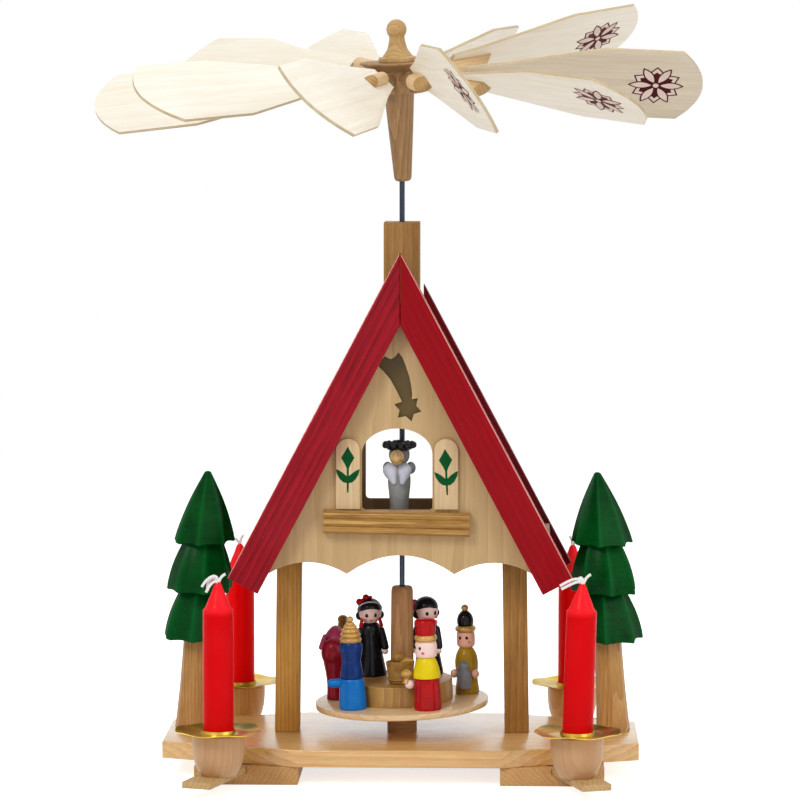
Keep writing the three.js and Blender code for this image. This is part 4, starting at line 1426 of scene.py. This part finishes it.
# Angel behind the window: grey gown, folded sleeves, a trumpet's bell before the face, a crown of balls
angel = {
    "gown": [
        (4.6, 0), (4.9, 0.4), (4.3, 7), (4.3, 12), (4.8, 17), (5.3, 21), (5.3, 25), (4.6, 28.6), (3.0, 31),
        (1.5, 31.4),
    ],
    "crown": {"radius": 6.6, "height": 39.0, "ball": 1.55, "count": 13},
    "sleeves": [((-4.0, -2.8, 27.4), (-2.5, -5.2, 22.8)), ((2.4, -2.8, 27.4), (1.6, -5.2, 22.8))],
    "sleeve": (3.7, 1.3),
    "stretch": 1.045,
}


def crownBalls():
    crown = angel["crown"]
    balls = []
    for i in range(crown["count"]):
        around = 2 * math.pi * i / crown["count"]
        spot = (crown["radius"] * math.cos(around), crown["radius"] * math.sin(around), crown["height"])
        balls.append(bead(crown["ball"], spot, 1.0, 14))
    return joined("crown", balls)


angelParts = [
    ("gown", "grey", softTurned(angel["gown"])),
    ("sleeves", "sleeve", joined("part", [limb(*ends, *angel["sleeve"]) for ends in angel["sleeves"]])),
    ("shoulders", "vessel", pair(lambda sign: bead(2.3, (sign * 5.4, 0.2, 28.6), 1.2))),
    ("head", "vessel", bead(4.9, (0, 0.4, 34.6), 1.05, 32)),
    ("bell", "bell", softTurned(
        [(0.6, 0), (1.4, 0.3), (2.6, 1.6), (3.4, 3.6), (3.45, 4.4), (2.4, 6.0), (0.8, 6.9)], 36, 60,
        moved(-0.8, -3.0, 34.0) @ rotated(90, "X"),
    )),
    ("cap", "black", softTurned([
        (4.6, 36.6), (5.8, 37.0), (5.9, 38.0), (5.0, 39.4), (3.4, 40.6), (1.0, 41.2)
    ])),
    ("curls", "black", crownBalls()),
]
taller = Matrix.Diagonal((1, 1, angel["stretch"], 1))
dressFigure("angel", Matrix.Translation(footOf("angel")) @ taller, angelParts)
print("angel made")


# Wheel: hub, finial, stems and blades, made upright and then leant with the wheel
wheel = {"insert": 19.6, "leanX": 3.81, "leanY": -2.36}
pivot = Vector((axis.x * mm, axis.y * mm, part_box("rod")[1].z - wheel["insert"] / 2 * mm))
wheelPlace = (
    Matrix.Translation(pivot)
    @ rotated(wheel["leanX"], "X")
    @ rotated(wheel["leanY"], "Y")
)
hub = [
    (1.6, -9.8), (2.9, -9.7), (3.7, -9.1), (4.1, -8.0), (4.2, -6.6), (5.0, 4), (5.9, 16), (6.95, 30.9),
    (7.2, 31.2), (11.4, 31.4), (12.2, 31.9), (12.3, 32.8), (11.9, 34.2), (12.0, 38), (12.2, 41.6),
    (13.4, 42.8), (16.6, 44.7), (17.8, 45.2), (17.95, 45.6), (17.8, 46), (9, 46),
]
finial = {
    "foot": 46,
    "neck": [
        (8.5, 0), (8.9, 0.2), (9, 1.0), (8.8, 2.0), (8.2, 2.3), (6.9, 2.5),
        (6.6, 3.2), (5.5, 4.6), (4.6, 6.1), (4.0, 8.4), (3.6, 10.4),
    ],
    "ball": 4.7,
    "ballHeight": 15.0,
    "steps": 12,
}


# Keeps each point's place before the piece is leant, so that its grain follows it
def keepGrain(piece, shift=(0, 0, 0)):
    grain = piece.data.attributes.new("grain", "FLOAT_VECTOR", "POINT")
    for index, vertex in enumerate(piece.data.vertices):
        grain.data[index].vector = vertex.co + Vector(shift) * mm
    return piece


knob = list(finial["neck"])
start = -math.acos(finial["neck"][-1][0] / finial["ball"])
for i in range(finial["steps"] + 1):
    around = start + (math.pi / 2 * 0.98 - start) * i / finial["steps"]
    rise = finial["ball"] * math.sin(around)
    knob.append((finial["ball"] * math.cos(around), finial["ballHeight"] + rise))
knob = [(radius, height + finial["foot"]) for radius, height in knob]
for name, node, profile, sides, finish in (
    ("turned_hub", "wheel_hub", hub, 72, "hub"),
    ("turned_finial", "finial", knob, 56, "finial"),
):
    piece = keepGrain(turned(name, profile, sides, 40))
    settle(piece, wheelPlace)
    dress(piece, woods[finish], node)

blade = {
    "outline": [(31, 6.1), (50, 10), (94.6, 22.4), (131, 22.4)],
    "reach": 141.9,
    "thickness": 1.4,
    "top": 3.75,
    "rows": 26,
    "tipRows": 14,
    "columns": 10,
    "shaded": 1,
    "edge": 0.3,
}
stem = {"radius": 3.75, "neck": 2.4, "root": 12.3, "shoulder": 33, "end": 54, "slant": 7, "over": 3.3}


def halfWidth(x):
    outline = blade["outline"]
    for (x0, y0), (x1, y1) in zip(outline, outline[1:]):
        if x <= x1:
            share = (x - x0) / (x1 - x0)
            return y0 + (y1 - y0) * share
    return 0


# Places along the blade: even up to the round end, then closer and closer
def bladeStations():
    tipX, tipY = blade["outline"][-1]
    start = blade["outline"][0][0]
    stations = []
    for i in range(blade["rows"]):
        x = start + (tipX - start) * i / (blade["rows"] - 1)
        stations.append((x, halfWidth(x)))
    for i in range(1, blade["tipRows"] + 1):
        share = 1 - i / (blade["tipRows"] + 0.5)
        stations.append((tipX + (blade["reach"] - tipX) * (1 - share * share), tipY * share))
    return stations


def bladePiece():
    stations = bladeStations()
    clearSelection()
    bpy.ops.mesh.primitive_grid_add(
        x_subdivisions=len(stations) - 1, y_subdivisions=blade["columns"], size=2 * mm, location=(0, 0, 0)
    )
    piece = bpy.context.object
    for vertex in piece.data.vertices:
        index = round((vertex.co.x / mm + 1) / 2 * (len(stations) - 1))
        x, half = stations[index]
        vertex.co = Vector((x, vertex.co.y / mm * half, blade["top"])) * mm
    modify(piece, "SOLIDIFY", thickness=blade["thickness"] * mm, offset=-1.0)
    modify(piece, "BEVEL", width=blade["edge"] * mm, segments=2, limit_method="ANGLE", angle_limit=40 * rad)
    smooth(piece, 40)
    piece.data.materials.append(woods["paddle"])
    piece.data.materials.append(woods["paddleEdge"])
    for flat in piece.data.polygons:
        flat.material_index = 0 if abs(flat.normal.z) > 0.9 else 1
    return piece


# The dowel is slimmer where it leaves the hub, and the blade sits in its split end
def stemPiece():
    radius, neck, over = stem["radius"], stem["neck"], stem["over"]
    shoulder, end, level = stem["shoulder"], stem["end"], blade["top"]
    lowerSide = [
        (neck, stem["root"]), (neck, shoulder - 3), (radius - 0.5, shoulder - 2.2), (radius, shoulder),
        (radius, end),
    ]
    upperSide = [(0.8, shoulder - 0.6), (2.2, shoulder - 0.1), (over, shoulder + 1.8), (over, end)]
    halves = []
    for side, height, foot, tilt in (
        (lowerSide, 0, level - blade["thickness"], -1),
        (upperSide, level, level, 1),
    ):
        rise = radius + foot if tilt < 0 else over
        half = turned("stem", side, 32, 40)
        settle(half, moved(0, 0, height) @ rotated(90, "Y"))
        cuts = [((end, 0, foot), (rise, 0, tilt * stem["slant"]))]
        if tilt > 0:
            cuts.append(((0, 0, foot), (0, 0, -1)))
        choose(half)
        openMesh()
        for spot, normal in cuts:
            bpy.ops.mesh.select_all(action="SELECT")
            bpy.ops.mesh.bisect(
                plane_co=Vector(spot) * mm, plane_no=normal, use_fill=True, clear_outer=True
            )
        closeMesh()
        halves.append(half)
    piece = joined("stem", halves)
    for finish in ("stem", "finial", "hub"):
        piece.data.materials.append(woods[finish])
    # Painted shade: the neck by the hub takes the darker hub wood; the slanted cut end takes the finial wood
    for flat in piece.data.polygons:
        cutFace = flat.center.x > end * 0.75 * mm and flat.normal.x > 0.2
        flat.material_index = 2 if flat.center.x < (shoulder - 2.6) * mm else int(cutFace)
    return piece


# A six-petalled rosette in two colours, printed under each blade
rosette = {
    "centre": 120,
    "layer": 0.03,
    "under": 0.02,
    "kites": [
        ("print", 1.5, 7.8, 12.4, 3.9), ("printPale", 2.6, 7.8, 11.3, 3.0), ("print", 1.5, 5.9, 8.8, 2.9)
    ],
    "petals": [("print", 1.0, 13.1, 2.4), ("printPale", 2.1, 12.0, 1.75)],
    "rings": [("print", 1.9), ("printPale", 1.35)],
    "ringSides": 20,
}


def petal(near, far, half, turn):
    points = []
    for sign in (1, -1):
        steps = range(1, 8) if sign > 0 else range(7, 0, -1)
        points += [
            (near + (far - near) * i / 8, sign * half * math.sin(math.pi * i / 8) ** 0.85) for i in steps
        ]
    points.insert(0, (near, 0))
    points.insert(8, (far, 0))
    return turnedPoints(points, turn)


def kite(near, middle, far, half, turn):
    return turnedPoints([(near, 0), (middle, half), (far, 0), (middle, -half)], turn)


def turnedPoints(points, turn):
    c, s = math.cos(turn * rad), math.sin(turn * rad)
    return [(x * c - y * s, x * s + y * c) for x, y in points]


def ringPoints(radius):
    count = rosette["ringSides"]
    angles = [2 * math.pi * i / count for i in range(count)]
    return [(radius * math.cos(angle), radius * math.sin(angle)) for angle in angles]


def rosettePiece():
    shapes = {"print": [], "printPale": []}
    kites, petals, rings = rosette["kites"], rosette["petals"], rosette["rings"]
    for turn in range(0, 360, 60):
        for level, (tone, *sizes) in enumerate(kites):
            shapes[tone].append((kite(*sizes, turn + 30), level))
        for level, (tone, *sizes) in enumerate(petals, len(kites)):
            shapes[tone].append((petal(*sizes, turn), level))
    for level, (tone, radius) in enumerate(rings, len(kites) + len(petals)):
        shapes[tone].append((ringPoints(radius), level))
    pieces = []
    for tone, outlines in shapes.items():
        cut = [cutout("print_shape", points, level * rosette["layer"]) for points, level in outlines]
        made = joined("print_layer", cut)
        made.data.materials.append(paints[tone])
        pieces.append(made)
    piece = joined("rosette", pieces)
    level = blade["top"] - blade["thickness"] - rosette["under"]
    settle(piece, moved(rosette["centre"], 0, level) @ rotated(180, "X"))
    return piece


# A blade's place: X along its joint, Z off the largest face that looks up
def paddleMatrix(number):
    joint = joints["paddle_" + str(number) + "_pitch"]
    along = Vector(joint["axis"]).normalized()
    mesh = nodes["paddle_" + str(number)].data
    up = max(mesh.polygons, key=lambda face: face.area * (face.normal.z > 0)).normal.copy()
    up = (up - along * up.dot(along)).normalized()
    side = up.cross(along)
    turn = Matrix((along, side, up)).transposed().to_4x4()
    return Matrix.Translation(joint["pos_m"]) @ turn


bladeSource, stemSource, rosetteSource = bladePiece(), stemPiece(), rosettePiece()
for number in range(1, 11):
    node = "paddle_" + str(number)
    place = paddleMatrix(number)
    shift = (number * 37, number * 11, number * 5)
    for source, name, slot in (
        (bladeSource, "blade_", None),
        (stemSource, "blade_stem_", None),
        (rosetteSource, "blade_rosette_", "maroon_print"),
    ):
        piece = copied(source, name + str(number))
        if source is not rosetteSource:
            keepGrain(piece, shift)
        settle(piece, place)
        # The shaded blade takes the darker copy of the wood: painted shade
        if source is bladeSource and number == blade["shaded"]:
            piece.data.materials[0] = woods["paddlePaintedShade"]
        dress(piece, None, node, instead=source is bladeSource)
discard(bladeSource, stemSource, rosetteSource)
print("wheel made")
